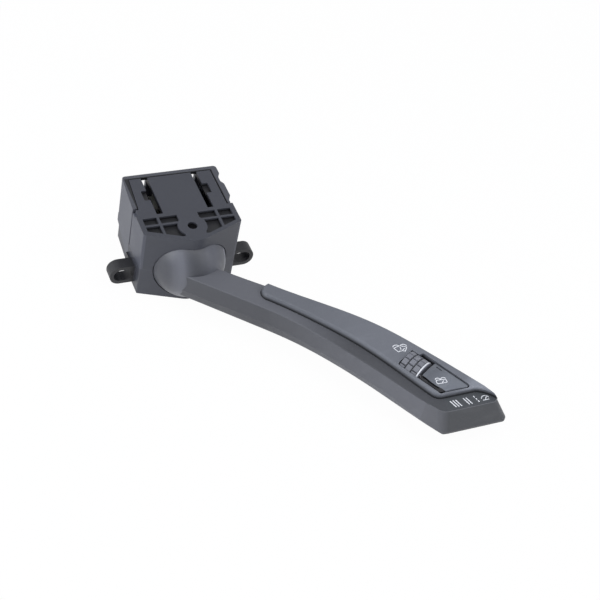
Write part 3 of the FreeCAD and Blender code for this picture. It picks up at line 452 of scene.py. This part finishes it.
def drawn_group():
    """Fine turned or drawn lines for metal."""
    tree, gin, gout = new_group(
        "DrawnMetal",
        [("Colour", "Color", (0.6, 0.6, 0.6, 1)), ("Lines", "Float", 9000.0)],
        [COLOUR_OUT, ROUGH_OUT, HEIGHT_OUT])
    link = tree.links.new
    lines = noise(tree, object_point(tree), gin.outputs["Lines"], 3.0)
    faint = math_node(tree, "MULTIPLY", lines, 0.2)
    gain = math_node(tree, "ADD", faint, 0.9)
    link(scaled(tree, gin.outputs["Colour"], gain), gout.inputs["Colour"])
    link(math_node(tree, "ADD", faint, 0.22), gout.inputs["Roughness"])
    link(lines, gout.inputs["Height"])
    return tree


# Materials

SHARED = {}
PLASTIC_RELIEF = 0.00006
METAL_RELIEF = 0.00002


def place_group(tree, builder, values):
    """Places a shared group in a material with its own values."""
    if builder not in SHARED:
        SHARED[builder] = builder()
    node = tree.nodes.new("ShaderNodeGroup")
    node.node_tree = SHARED[builder]
    for label, value in values.items():
        node.inputs[label].default_value = value
    return node


def new_material(name, rgb):
    mat = bpy.data.materials.new(name)
    mat.use_nodes = True
    mat.diffuse_color = (*rgb, 1)
    return mat, mat.node_tree, mat.node_tree.nodes["Principled BSDF"]


def finish_shader(tree, shader, tint, rough, height, strength, depth):
    """Links the last colour, roughness and height to the shader."""
    tree.links.new(tint, shader.inputs["Base Color"])
    tree.links.new(rough, shader.inputs["Roughness"])
    bumper = tree.nodes.new("ShaderNodeBump")
    bumper.inputs["Strength"].default_value = strength
    bumper.inputs["Distance"].default_value = depth
    tree.links.new(height, bumper.inputs["Height"])
    tree.links.new(bumper.outputs["Normal"], shader.inputs["Normal"])


def plastic(name, rgb, rough=0.5, size=0.00035, bump=0.35, cloud=0.12, rub=0.0, coat=0.0, edge=0.0,
            zone=None, bands=(), shine=0.5):
    """Moulded plastic: grain of a size in metres, then rub, worn edges, a zone and bands of other tones."""
    mat, tree, shader = new_material(name, rgb)
    values = {"Colour": (*rgb, 1), "Size": size, "Cloud": cloud, "Gloss": rough}
    grain = place_group(tree, grain_group, values)
    layers = []
    if rub > 0:
        layers.append((rub_group, {"Amount": rub}))
    if edge > 0:
        layers.append((edge_group, {"Lift": edge}))
    if zone:
        layers.append((zone_group, zone))
    layers += [(band_group, given) for given in bands]
    last = {label: grain.outputs[label] for label in ("Colour", "Roughness")}
    for builder, values in layers:
        layer = place_group(tree, builder, values)
        for label in layer.outputs.keys():
            tree.links.new(last[label], layer.inputs[label])
            last[label] = layer.outputs[label]
    finish_shader(tree, shader, last["Colour"], last["Roughness"], grain.outputs["Height"], bump,
                  PLASTIC_RELIEF)
    shader.inputs["IOR"].default_value = 1.48
    shader.inputs["Specular IOR Level"].default_value = shine
    shader.inputs["Coat Weight"].default_value = coat
    shader.inputs["Coat Roughness"].default_value = 0.25
    return mat


def metal(name, rgb, lines=9000.0):
    """Bare metal with fine drawn lines."""
    mat, tree, shader = new_material(name, rgb)
    drawn = place_group(tree, drawn_group, {"Colour": (*rgb, 1), "Lines": lines})
    finish_shader(tree, shader, drawn.outputs["Colour"], drawn.outputs["Roughness"],
                  drawn.outputs["Height"], 0.15, METAL_RELIEF)
    shader.inputs["Metallic"].default_value = 1.0
    return mat


def tone(rgb, gain):
    return (*(c * gain for c in rgb), 1)


def band(tint, direction, start, end, soft=0.0002, **levels):
    """A band for plastic(): distances from the pivot along the direction, and levels, in millimetres."""
    base = direction.dot(PIVOT)
    out = {"Tone": tint, "Direction": direction, "Soft": soft}
    out["From"] = base + start * MM
    out["To"] = base + end * MM
    out.update({label: PIVOT.z + z * MM for label, z in levels.items()})
    return out


def dress(node, mat):
    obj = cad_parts[node]
    if not obj.material_slots:
        raise RuntimeError("no material slot on " + node)
    for slot in obj.material_slots:
        slot.material = mat


def link_mesh(name, mesh):
    obj = bpy.data.objects.new(name, mesh)
    bpy.context.scene.collection.objects.link(obj)
    return obj


def ink(context):
    """The white of all prints, made once."""
    ready = bpy.data.materials.get("PrintWhite")
    return ready or plastic("PrintWhite", context.scene.stalk_plastics.ink, 0.45, 0.0006, 0.05, 0.04)


# Printing: flat strokes laid on a CAD surface as a thin closed film

def surface_of(node):
    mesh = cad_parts[node].data
    corners = [v.co.copy() for v in mesh.vertices]
    return BVHTree.FromPolygons(corners, [tuple(p.vertices) for p in mesh.polygons])


def drop_on(surface, x, y):
    hit = surface.ray_cast(Vector((x, y, ABOVE_ALL)), -UP)
    if hit[0] is None:
        raise RuntimeError("print misses its surface")
    return hit[0].z


def stroke_outline(points, width, closed):
    """Left and right points of a line of even width with mitred corners."""
    sides = []
    total = len(points)
    for i, p in enumerate(points):
        before = points[i - 1] if (i > 0 or closed) else None
        after = points[(i + 1) % total] if (i < total - 1 or closed) else None
        d0 = (p - before).normalized() if before is not None else None
        d1 = (after - p).normalized() if after is not None else None
        if d0 is None:
            d0 = d1
        if d1 is None:
            d1 = d0
        n0 = Vector((-d0.y, d0.x))
        n1 = Vector((-d1.y, d1.x))
        n = (n0 + n1).normalized()
        stretch = min(1.6, 1.0 / max(0.4, n.dot(n0)))
        sides.append((p + n * width * 0.5 * stretch, p - n * width * 0.5 * stretch))
    return sides


def fine_points(points, closed):
    """The line's points with others between them, so that the film follows a curved surface."""
    fine = []
    total = len(points)
    for i in range(total if closed else total - 1):
        a, b = points[i], points[(i + 1) % total]
        steps = max(1, int((b - a).length / LINE_STEP))
        fine += [a.lerp(b, k / steps) for k in range(steps)]
    if not closed:
        fine.append(points[-1])
    return fine


def film_mesh(name, strokes, surface, film):
    """Each stroke is (points, width, closed), in metres in the row's X and Y."""
    bm = bmesh.new()
    for points, width, closed in strokes:
        rings = []
        for left, right in stroke_outline(fine_points(points, closed), width, closed):
            zl = drop_on(surface, left.x, left.y)
            zr = drop_on(surface, right.x, right.y)
            corners = ((left, zl + film), (right, zr + film),
                       (right, zr - FILM_SINK), (left, zl - FILM_SINK))
            rings.append([bm.verts.new((p.x, p.y, z)) for p, z in corners])
        total = len(rings)
        for i in range(total if closed else total - 1):
            a, b = rings[i], rings[(i + 1) % total]
            for k in range(4):
                bm.faces.new((a[k], a[(k + 1) % 4], b[(k + 1) % 4], b[k]))
        if not closed:
            bm.faces.new(rings[0][::-1])
            bm.faces.new(rings[-1])
    bmesh.ops.recalc_face_normals(bm, faces=bm.faces)
    mesh = bpy.data.meshes.new(name)
    bm.to_mesh(mesh)
    bm.free()
    return mesh


def print_on(context, name, strokes, node):
    """Lays the strokes on a node as one object of white ink."""
    film = context.scene.stalk_print.film
    obj = link_mesh(name, film_mesh(name, strokes, surface_of(node), film))
    obj.data.materials.append(ink(context))
    return obj


def arc_points(cx, cy, rx, ry, start, end, steps):
    angles = [math.radians(start + (end - start) * k / steps) for k in range(steps + 1)]
    return [(cx + rx * math.cos(a), cy + ry * math.sin(a)) for a in angles]


def placed(shape, centre, size, turn=0.0, flat=1.0):
    """Symbol lines, from a unit square with X right and Y up, put on the row's plan."""
    rot = Matrix.Rotation(math.radians(turn), 2)
    return [([centre + rot @ Vector((x * size, y * size * flat)) for x, y in points], closed)
            for points, closed in shape]


def windscreen_symbol():
    """Windscreen outline with a fountain of drops and a wiper."""
    top = arc_points(0.0, -0.30, 0.62, 0.62, 137, 43, 8)
    floor = arc_points(0.0, -0.74, 0.48, 0.48, 57, 123, 5)
    glass = [(-0.26, -0.34), (-0.48, 0.14)] + top + [(0.48, 0.14), (0.26, -0.34)] + floor[1:-1]
    drops_left = arc_points(-0.26, 0.20, 0.26, 0.30, 20, 165, 6)
    drops_right = arc_points(0.26, 0.20, 0.26, 0.30, 160, 15, 6)
    stem = [(0.0, -0.10), (0.0, 0.22)]
    wiper = [(0.0, -0.28), (0.30, 0.02)]
    return [(glass, True), (drops_left, False), (drops_right, False), (stem, False), (wiper, False)]


def rear_window_symbol():
    """Rear window outline with a fountain of drops and a wiper."""
    glass = [(-0.36, -0.26), (0.36, -0.26), (0.42, -0.18), (0.42, 0.14),
             (0.34, 0.24), (-0.34, 0.24), (-0.42, 0.14), (-0.42, -0.18)]
    drops_left = arc_points(-0.24, 0.26, 0.22, 0.26, 10, 165, 5)
    drops_right = arc_points(0.24, 0.26, 0.22, 0.26, 170, 15, 5)
    wiper = [(0.0, -0.20), (0.22, 0.08)]
    return [(glass, True), (drops_left, False), (drops_right, False), (wiper, False)]


def small_wipe_symbol():
    """Short wiper arm over a curved pane, used for the single wipe."""
    pane = arc_points(0.0, -0.35, 0.52, 0.60, 155, 25, 6)
    arm = [(-0.05, -0.30), (0.30, 0.16)]
    blade = [(0.14, 0.26), (0.46, 0.06)]
    foot = [(-0.40, -0.34), (0.40, -0.34)]
    return [(pane, False), (arm, False), (blade, False), (foot, False)]


# Thumbwheel

def tread_block(s):
    """One block of the tread, rounded at the top, with its root a little under the drum's surface."""
    width = 2 * math.pi * s.radius / s.blocks - s.gap
    along = s.length / s.rows - s.gap
    bm = bmesh.new()
    bmesh.ops.create_cube(bm, size=1.0)
    bmesh.ops.scale(bm, vec=(along, width, s.depth + BLOCK_ROOT), verts=bm.verts)
    bmesh.ops.translate(bm, vec=(0, 0, (s.depth - BLOCK_ROOT) / 2), verts=bm.verts)
    top = [e for e in bm.edges if all(v.co.z > 0 for v in e.verts)]
    bmesh.ops.bevel(bm, geom=top, offset=BLOCK_ROUNDING, segments=2, affect="EDGES")
    mesh = bpy.data.meshes.new("TreadBlock")
    bm.to_mesh(mesh)
    bm.free()
    return mesh


def tread_tree(s):
    """Geometry Nodes that stand a block at each place of the staggered rows, X along the axle."""
    tree = bpy.data.node_groups.new("StaggeredTread", "GeometryNodeTree")
    for label, kind, value in (
            ("Radius", "Float", s.radius - s.depth), ("Rows", "Int", s.rows), ("Blocks", "Int", s.blocks),
            ("Row Length", "Float", s.length / s.rows), ("Block", "Object", None),
            ("Material", "Material", None)):
        sock = tree.interface.new_socket(label, in_out="INPUT", socket_type="NodeSocket" + kind)
        if value is not None:
            sock.default_value = value
    tree.interface.new_socket("Geometry", in_out="OUTPUT", socket_type="NodeSocketGeometry")
    given = tree.nodes.new("NodeGroupInput").outputs
    link = tree.links.new

    def calc(op, a, b=0.0):
        return math_node(tree, op, a, b)

    points = tree.nodes.new("GeometryNodePoints")
    link(calc("MULTIPLY", given["Rows"], given["Blocks"]), points.inputs["Count"])
    index = tree.nodes.new("GeometryNodeInputIndex").outputs[0]
    row = calc("FLOOR", calc("DIVIDE", index, given["Blocks"]))
    half = calc("MULTIPLY", calc("MODULO", row, 2.0), 0.5)
    turn = calc("DIVIDE", calc("MULTIPLY", calc("ADD", index, half), 2 * math.pi), given["Blocks"])
    where = tree.nodes.new("ShaderNodeCombineXYZ")
    link(calc("MULTIPLY", calc("ADD", row, 0.5), given["Row Length"]), where.inputs["X"])
    link(calc("MULTIPLY", calc("MULTIPLY", calc("SINE", turn), given["Radius"]), -1.0), where.inputs["Y"])
    link(calc("MULTIPLY", calc("COSINE", turn), given["Radius"]), where.inputs["Z"])
    link(where.outputs[0], points.inputs["Position"])
    info = tree.nodes.new("GeometryNodeObjectInfo")
    link(given["Block"], info.inputs["Object"])
    spin = tree.nodes.new("ShaderNodeCombineXYZ")
    link(turn, spin.inputs["X"])
    stand = tree.nodes.new("GeometryNodeInstanceOnPoints")
    link(points.outputs[0], stand.inputs["Points"])
    link(info.outputs["Geometry"], stand.inputs["Instance"])
    link(spin.outputs[0], stand.inputs["Rotation"])
    real = tree.nodes.new("GeometryNodeRealizeInstances")
    link(stand.outputs[0], real.inputs[0])
    paint = tree.nodes.new("GeometryNodeSetMaterial")
    link(real.outputs[0], paint.inputs["Geometry"])
    link(given["Material"], paint.inputs["Material"])
    link(paint.outputs[0], tree.nodes.new("NodeGroupOutput").inputs[0])
    return tree


def add_drum(bm, s):
    """Adds the drum under the blocks, a chamfered ring with the axle's hole, in the second material."""
    drum = s.radius - s.depth
    profile = [(0.0, DRUM_HOLE), (0.0, drum - DRUM_CHAMFER), (DRUM_CHAMFER, drum),
               (s.length - DRUM_CHAMFER, drum), (s.length, drum - DRUM_CHAMFER), (s.length, DRUM_HOLE)]
    angles = [2 * math.pi * k / DRUM_STEPS for k in range(DRUM_STEPS)]
    rings = [[bm.verts.new((x, r * math.cos(a), r * math.sin(a))) for a in angles] for x, r in profile]
    for i, a in enumerate(rings):
        b = rings[(i + 1) % len(rings)]
        for k in range(DRUM_STEPS):
            after = (k + 1) % DRUM_STEPS
            face = bm.faces.new((a[k], a[after], b[after], b[k]))
            face.material_index = 1


# Operators

class STALK_OT_case(bpy.types.Operator):
    """Gives the case, its lower housing and its plug socket their moulded plastics."""
    bl_idname = "stalk.case"
    bl_label = "Case plastics"

    def execute(self, context):
        s = context.scene.stalk_plastics
        recess_shade = (*s.recess_shade, 1)
        # Painted shade on the rear housing: the rim's top darker, and dark inside the rim above 19 mm
        rim_shade = [
            band(tone(s.rear, 0.66), SIDE, -FAR, FAR, Above=RIM_TOP),
            band(recess_shade, SIDE, -RIM_INNER, RIM_INNER, Above=RIM_INNER_LEVEL),
            band(tone(s.rear, 0.66), BACK, RIM_REAR, FAR, Above=RIM_TOP),
        ]
        mat = plastic("RearHousingGrey", s.rear, 0.56, s.grain, 0.45, 0.16, edge=0.35, bands=rim_shade)
        dress("rear_housing", mat)
        # Painted shade in the rib cells: dark under the cell level, behind the slanted front and inside the
        # walls
        sunk_shade = {"Tone": recess_shade, "Level": pt(0, 0, CELL_LEVEL).z, "Inside": CELL_HALF_WIDTH * MM,
                "Front": pt(0, CELL_FRONT, 0).y, "Slant": CELL_SLANT}
        # Painted light and shade on the top cover: its side flanks lighter, its top darker, and a dark band
        # of painted shade at the seam
        flank_light_and_shade = [
            band(tone(s.front, 1.5), SIDE, -FAR, -FLANK, Below=RIM_TOP),
            band(tone(s.front, 1.5), SIDE, FLANK, FAR, Below=RIM_TOP),
            band(tone(s.front, 0.84), SIDE, -FAR, FAR, Above=PLATE_EDGE),
            band(recess_shade, BACK, *SEAM, Above=SEAM_FOOT, Below=RIM_TOP),
        ]
        mat = plastic("TopCoverGrey", s.front, 0.52, s.grain, 0.40, 0.14, edge=0.45, zone=sunk_shade,
                      bands=flank_light_and_shade)
        dress("top_cover", mat)
        ears = {"Tone": (*s.ears, 1), "Side": EAR_ROOT * MM, "Soft": 0.0001}
        mat = plastic("LowerHousingGrey", s.tray, 0.50, s.grain, 0.35, 0.20, edge=0.45, zone=ears)
        dress("lower_housing", mat)
        dress("connector_shroud", plastic("PlugSocketBlack", (0.012, 0.012, 0.013), 0.40, 0.0003, 0.2))
        return {"FINISHED"}


class STALK_OT_works(bpy.types.Operator):
    """Gives the inner pieces, pins, screws, springs and boards their finishes."""
    bl_idname = "stalk.works"
    bl_label = "Inner pieces"

    def execute(self, context):
        finishes = (
            (metal("DrawnSteel", (0.60, 0.60, 0.62)), ("tilt_pins", "wheel_axle", "plunger_spring")),
            (metal("ContactBrass", (0.78, 0.60, 0.30), 12000.0), ("connector_pins", "contact_springs")),
            (metal("ZincedScrew", (0.52, 0.53, 0.56), 6000.0), ("housing_screws", "stalk_screws")),
            (plastic("BoardGreen", (0.020, 0.11, 0.045), 0.35, 0.0008, 0.15, 0.3, coat=0.3),
             ("circuit_board", "stalk_board")),
            (plastic("NaturalAcetal", (0.62, 0.61, 0.55), 0.38, 0.0005, 0.1, 0.06),
             ("centring_cam", "cam_plunger", "slider_guide", "stalk_ribbon_plug")),
            (plastic("GlassFilledBlack", (0.018, 0.018, 0.019), 0.42, 0.0004, 0.25),
             ("contact_slider", "lever_core", "wheel_cradle", "board_chips")),
            (plastic("YokeBlack", (0.004, 0.004, 0.005), 0.75, 0.0004, 0.2, shine=0.1), ("swing_yoke",)),
            (plastic("DomeRubber", (0.16, 0.16, 0.17), 0.7, 0.0006, 0.3), ("button_dome",)),
            (plastic("RibbonAmber", (0.32, 0.12, 0.02), 0.3, 0.0008, 0.1, coat=0.5), ("stalk_ribbon",)),
        )
        for mat, nodes in finishes:
            for node in nodes:
                dress(node, mat)
        return {"FINISHED"}


class STALK_OT_soft(bpy.types.Operator):
    """Copies the rubber dome and the plunger's spring in place of their CAD pieces, with their finishes,
    and hangs the copies on the stalk.
    """
    bl_idname = "stalk.soft"
    bl_label = "Dome and spring"

    def execute(self, context):
        for node, slot_name, finish, joint, axis, anchor, travel in SOFT_PIECES:
            low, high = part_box(node)
            middle = [(a + b) / 2 for a, b in zip(low, high)]
            middle[axis] = anchor
            obj = link_mesh(node + "_soft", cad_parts[node].data.copy())
            obj.data.materials.clear()
            obj.data.materials.append(bpy.data.materials[finish])
            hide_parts(node)
            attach(obj, "stalk")
            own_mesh(obj)
        return {"FINISHED"}


class STALK_OT_lever(bpy.types.Operator):
    """Gives the ball, the arm, its raised cover, its end, the button and the ring their plastics."""
    bl_idname = "stalk.lever"
    bl_label = "Lever plastics"

    def execute(self, context):
        s = context.scene.stalk_plastics
        recess_shade = (*s.recess_shade, 1)
        # Painted highlight and painted shade: the ball's sheen as bands across its side
        painted_sheen = [band(tone(s.ball, gain), SIDE, start, end, soft) for gain, start, end, soft in BALL_PAINTED_SHEEN]
        mat = plastic("BallSatin", s.ball, 0.44, s.grain * 0.8, 0.18, 0.10, rub=0.5, edge=0.2, bands=painted_sheen)
        dress("ball_cover", mat)
        # Painted light and shade on the arm: darker towards the pivot and lighter towards the tip, and
        # painted shade on the ledge from 60 mm on
        run = [
            band(tone(s.arm, 0.64), ALONG, -FAR, ARM_PAINTED_SHADE_END, 0.045),
            band(tone(s.arm, 1.24), ALONG, ARM_PAINTED_LIGHT_START, FAR, 0.045),
            band(tone(s.arm, 1.0), ALONG, -FAR, FAR, Above=LEDGE),
            band(tone(s.arm, 0.56), ALONG, LEDGE_PAINTED_SHADE_START, FAR, 0.03, Above=LEDGE),
        ]
        mat = plastic("StalkGrain", s.arm, 0.54, s.grain, 0.42, 0.10, rub=0.3, edge=0.3, bands=run)
        dress("stalk_lower_shell", mat)
        # Painted shade at the cover's foot: darkened below the foot's level, fading in over 1.2 mm
        foot = {"Tone": tone(s.cover, 0.13), "Level": pt(0, 0, COVER_FOOT).z, "Front": -1.0, "Soft": 0.0012}
        # Painted light and shade on the cover: darker towards the pivot, lighter near its end
        cover_light_and_shade = [
            band(tone(s.cover, 0.83), ALONG, -FAR, COVER_PAINTED_SHADE_END, 0.030, Above=COVER_BODY),
            band(tone(s.cover, 1.55), ALONG, COVER_PAINTED_LIGHT_START, FAR, 0.004, Above=COVER_BODY),
        ]
        mat = plastic("CoverGrain", s.cover, 0.52, s.grain, 0.40, 0.10, rub=0.35, edge=0.4, zone=foot,
                      bands=cover_light_and_shade)
        dress("stalk_upper_cover", mat)
        low, high = CAP_TOP_EDGE
        # Painted light on the end cap: its near corner lighter, and a painted highlight along its top edge
        corner = [
            band(tone(s.arm, 1.08), ACROSS, -FAR, CAP_CORNER, 0.0035, Below=LEDGE),
            band(tone(s.cap, 2.6), ALONG, CAP_START, FAR, Above=low, Below=high),
        ]
        mat = plastic("EndCapGrain", s.cap, 0.50, s.grain, 0.40, 0.10, rub=0.35, edge=0.4, bands=corner)
        dress("stalk_end_cap", mat)
        dress("marked_end_strip", plastic("StripSemiGloss", s.strip, 0.30, s.grain, 0.10, 0.08, coat=0.25))
        # Painted shade on the button: darker between 100 and 132 mm along the stalk, and dark bands for its
        # grooves
        shades = [band(tone(s.button, 0.76), ALONG, *BUTTON_SHADE, 0.006)]
        shades += [band(recess_shade, ACROSS, *groove) for groove in BUTTON_GROOVES]
        mat = plastic("ButtonSatin", s.button, 0.42, s.grain * 0.7, 0.22, 0.08, rub=0.4, edge=0.3,
                      bands=shades)
        dress("rear_wiper_button", mat)
        # Painted shade: the white ring's flank greyed
        ring_flank_shade = [band(tone(s.wheel, 1.7), ALONG, *RING_FLANK, 0.0001)]
        dress("wheel_ring", plastic("RingWhite", (0.74, 0.75, 0.78), 0.35, 0.0005, 0.05, 0.03, bands=ring_flank_shade))
        return {"FINISHED"}


class STALK_OT_tread(bpy.types.Operator):
    """Builds the thumbwheel's drum and its rows of staggered tread blocks with Geometry Nodes."""
    bl_idname = "stalk.tread"
    bl_label = "Thumbwheel tread"

    def execute(self, context):
        s = context.scene.stalk_tread
        tint = context.scene.stalk_plastics.wheel
        blocks = plastic("WheelTread", tint, 0.48, 0.00028, 0.25, 0.12, rub=0.6)
        # Painted shade: the drum between the blocks is the tread's plastic darkened
        drum = plastic("WheelDrum", tone(tint, 0.22)[:3], 0.6, 0.00028, 0.2, 0.12)
        source = link_mesh("tread_source", tread_block(s))
        holder = link_mesh("tread_holder", bpy.data.meshes.new("tread_holder"))
        mod = holder.modifiers.new("Tread", "NODES")
        mod.node_group = tread_tree(s)
        given = {"Block": source, "Material": blocks}
        for item in mod.node_group.interface.items_tree:
            if item.in_out == "INPUT" and item.name in given:
                mod[item.identifier] = given[item.name]
        graph = context.evaluated_depsgraph_get()
        made = bpy.data.meshes.new_from_object(holder.evaluated_get(graph))
        # The drum's faces use the second material, so both are there before the drum is added
        made.materials.clear()
        made.materials.append(blocks)
        made.materials.append(drum)
        bm = bmesh.new()
        bm.from_mesh(made)
        add_drum(bm, s)
        bmesh.ops.recalc_face_normals(bm, faces=bm.faces)
        bm.to_mesh(made)
        bm.free()
        origin = PIVOT + (ALONG * WHEEL_START + ACROSS * WHEEL_SIDE + UP * WHEEL_Z) * MM
        made.transform(Matrix.Translation(origin) @ Matrix((ALONG, ACROSS, UP)).transposed().to_4x4())
        wheel = link_mesh("wheel_tread", made)
        for obj in (holder, source):
            bpy.data.objects.remove(obj)
        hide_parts("thumbwheel")
        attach(wheel, "wheel")
        return {"FINISHED"}


class STALK_OT_symbols(bpy.types.Operator):
    """Prints the windscreen symbol on the raised cover and the rear window symbol on the button."""
    bl_idname = "stalk.symbols"
    bl_label = "Printed symbols"

    def execute(self, context):
        s = context.scene.stalk_print
        turn, flat = -6.0, 0.74
        for name, shape, place, size, node, body in (
                ("print_windscreen", windscreen_symbol(), (72.6, -82.0), 0.0066, "stalk_upper_cover",
                 "stalk"),
                ("print_rear_window", rear_window_symbol(), (82.5, -104.0), 0.0056, "rear_wiper_button",
                 "button")):
            lines = placed(shape, pt(*place, 0).xy, size, turn, flat)
            obj = print_on(context, name, [(points, s.stroke, closed) for points, closed in lines], node)
            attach(obj, body)
        return {"FINISHED"}


class STALK_OT_marks(bpy.types.Operator):
    """Prints the step marks on the end strip: three bars, two bars, dashes and a wipe symbol."""
    bl_idname = "stalk.marks"
    bl_label = "Step marks"

    def execute(self, context):
        s = context.scene.stalk_print
        slant = Vector((0.34, -0.94)).normalized()
        top, bar_length, dash, dash_pitch = -113.3, 0.0041, 0.0009, 0.0015
        strokes = []
        for start, bars in ((82.8, 3), (89.5, 2)):
            for k in range(bars):
                a = pt(start, top, 0).xy + Vector((k * s.pitch, 0))
                strokes.append(([a, a + slant * bar_length], s.bar, False))
        a = pt(94.7, top, 0).xy
        for k in range(3):
            line = [a + slant * dash_pitch * k, a + slant * (dash_pitch * k + dash)]
            strokes.append((line, s.bar, False))
        wipe = placed(small_wipe_symbol(), pt(99.6, -115.2, 0).xy, 0.0040)
        strokes += [(points, s.stroke, closed) for points, closed in wipe]
        obj = print_on(context, "print_steps", strokes, "marked_end_strip")
        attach(obj, "stalk")
        return {"FINISHED"}


def floor_mesh():
    """A floor that bends up into a backdrop behind the switch."""
    low = CAD_BOX[0][2] - FLOOR_GAP
    profile = [(FLOOR_NEAR, low), (FLOOR_BEND, low)]
    for step in range(10, 91, 10):
        a = math.radians(step)
        rise = BEND_RADIUS - BEND_RADIUS * math.cos(a)
        profile.append((FLOOR_BEND + BEND_RADIUS * math.sin(a), low + rise))
    profile.append((FLOOR_BEND + BEND_RADIUS, low + BACKDROP_HEIGHT))
    bm = bmesh.new()
    rows = [[bm.verts.new((x, y, z)) for x in (-FLOOR_HALF_WIDTH, FLOOR_HALF_WIDTH)] for y, z in profile]
    for a, b in zip(rows, rows[1:]):
        bm.faces.new((a[0], a[1], b[1], b[0]))
    mesh = bpy.data.meshes.new("studio_floor")
    bm.to_mesh(mesh)
    bm.free()
    return mesh


def floor_material(rgb):
    """Pale floor that looks almost white to the camera and in reflections."""
    mat = bpy.data.materials.new("StudioPale")
    mat.use_nodes = True
    tree = mat.node_tree
    shader = tree.nodes["Principled BSDF"]
    shader.inputs["Base Color"].default_value = (*rgb, 1)
    shader.inputs["Roughness"].default_value = 0.9
    rays = tree.nodes.new("ShaderNodeLightPath").outputs
    mirrored = math_node(tree, "MAXIMUM", rays["Is Glossy Ray"], rays["Is Transmission Ray"])
    seen = math_node(tree, "MAXIMUM", rays["Is Camera Ray"], mirrored)
    glow = tree.nodes.new("ShaderNodeEmission")
    glow.inputs["Color"].default_value = (1, 1, 1, 1)
    mix = tree.nodes.new("ShaderNodeMixShader")
    tree.links.new(math_node(tree, "MULTIPLY", seen, 0.97), mix.inputs["Fac"])
    tree.links.new(shader.outputs[0], mix.inputs[1])
    tree.links.new(glow.outputs[0], mix.inputs[2])
    tree.links.new(mix.outputs[0], tree.nodes["Material Output"].inputs["Surface"])
    return mat


def add_lamp(scene, name, place, aim, size, watts, tint=(1, 1, 1)):
    data = bpy.data.lights.new(name, "AREA")
    data.shape = "DISK"
    data.size = size
    data.energy = watts
    data.color = tint
    obj = bpy.data.objects.new(name, data)
    scene.collection.objects.link(obj)
    obj.location = place
    obj.rotation_euler = (Vector(aim) - Vector(place)).to_track_quat("-Z", "Y").to_euler()


def studio_world():
    """Cool dim light from all round, and plain white where the camera sees past the floor."""
    world = bpy.data.worlds.new("StudioWorld")
    world.use_nodes = True
    tree = world.node_tree
    base = tree.nodes["Background"]
    base.inputs["Color"].default_value = (0.86, 0.90, 1.0, 1)
    base.inputs["Strength"].default_value = 0.50
    bright = tree.nodes.new("ShaderNodeBackground")
    bright.inputs["Color"].default_value = (1, 1, 1, 1)
    bright.inputs["Strength"].default_value = 1.0
    rays = tree.nodes.new("ShaderNodeLightPath").outputs
    mix = tree.nodes.new("ShaderNodeMixShader")
    tree.links.new(rays["Is Camera Ray"], mix.inputs["Fac"])
    tree.links.new(base.outputs[0], mix.inputs[1])
    tree.links.new(bright.outputs[0], mix.inputs[2])
    tree.links.new(mix.outputs[0], tree.nodes["World Output"].inputs["Surface"])
    return world


class STALK_OT_studio(bpy.types.Operator):
    """Sets the pale floor, the soft lamps, the world and the camera at the photograph's angle."""
    bl_idname = "stalk.studio"
    bl_label = "Studio"

    def execute(self, context):
        s = context.scene.stalk_studio
        scene = context.scene
        floor = link_mesh("studio_floor", floor_mesh())
        floor.data.materials.append(floor_material(s.floor))
        add_lamp(scene, "lamp_key", (-0.75, 0.05, 0.45), (0.0, -0.03, 0.0), 0.55, s.key, (0.96, 0.98, 1.0))
        add_lamp(scene, "lamp_top", (0.15, -0.20, 0.85), (0.05, -0.06, 0.0), 0.6, s.top)
        add_lamp(scene, "lamp_fill", (0.55, -0.65, 0.55), (0.04, -0.06, 0.0), 0.6, s.fill)
        scene.world = studio_world()
        data = bpy.data.cameras.new("photo_camera")
        data.sensor_width = 36.0
        data.lens = s.lens
        data.clip_start = 0.01
        cam = bpy.data.objects.new("photo_camera", data)
        scene.collection.objects.link(cam)
        right = Vector(CAMERA_RIGHT)
        back = right.cross(Vector(CAMERA_UP)).normalized()
        up = back.cross(right).normalized()
        right.normalize()
        turn = Matrix((right, up, back)).transposed().to_4x4()
        cam.matrix_world = Matrix.Translation(CAMERA_AT) @ turn
        scene.camera = cam
        scene.view_settings.view_transform = "Standard"
        return {"FINISHED"}


class STALK_PT_panel(bpy.types.Panel):
    """Sidebar panel with the settings and one button for each group of pieces."""
    bl_idname = "STALK_PT_panel"
    bl_label = "Stalk switch"
    bl_space_type = "VIEW_3D"
    bl_region_type = "UI"
    bl_category = "Stalk Switch"

    def draw(self, context):
        for key, group in GROUPS.items():
            box = self.layout.box()
            for prop in group.__annotations__:
                box.prop(getattr(context.scene, key), prop)
        for op in OPERATORS:
            self.layout.operator(op.bl_idname)


OPERATORS = (STALK_OT_case, STALK_OT_works, STALK_OT_soft, STALK_OT_lever, STALK_OT_tread,
             STALK_OT_symbols, STALK_OT_marks, STALK_OT_studio)
CLASSES = tuple(GROUPS.values()) + OPERATORS + (STALK_PT_panel,)


def register():
    for cls in CLASSES:
        bpy.utils.register_class(cls)
    for key, group in GROUPS.items():
        setattr(bpy.types.Scene, key, bpy.props.PointerProperty(type=group))


def unregister():
    for key in GROUPS:
        delattr(bpy.types.Scene, key)
    for cls in reversed(CLASSES):
        bpy.utils.unregister_class(cls)


def main():
    register()
    for op in OPERATORS:
        getattr(bpy.ops.stalk, op.bl_idname.split(".")[1])()


if __name__ == "__main__":
    main()
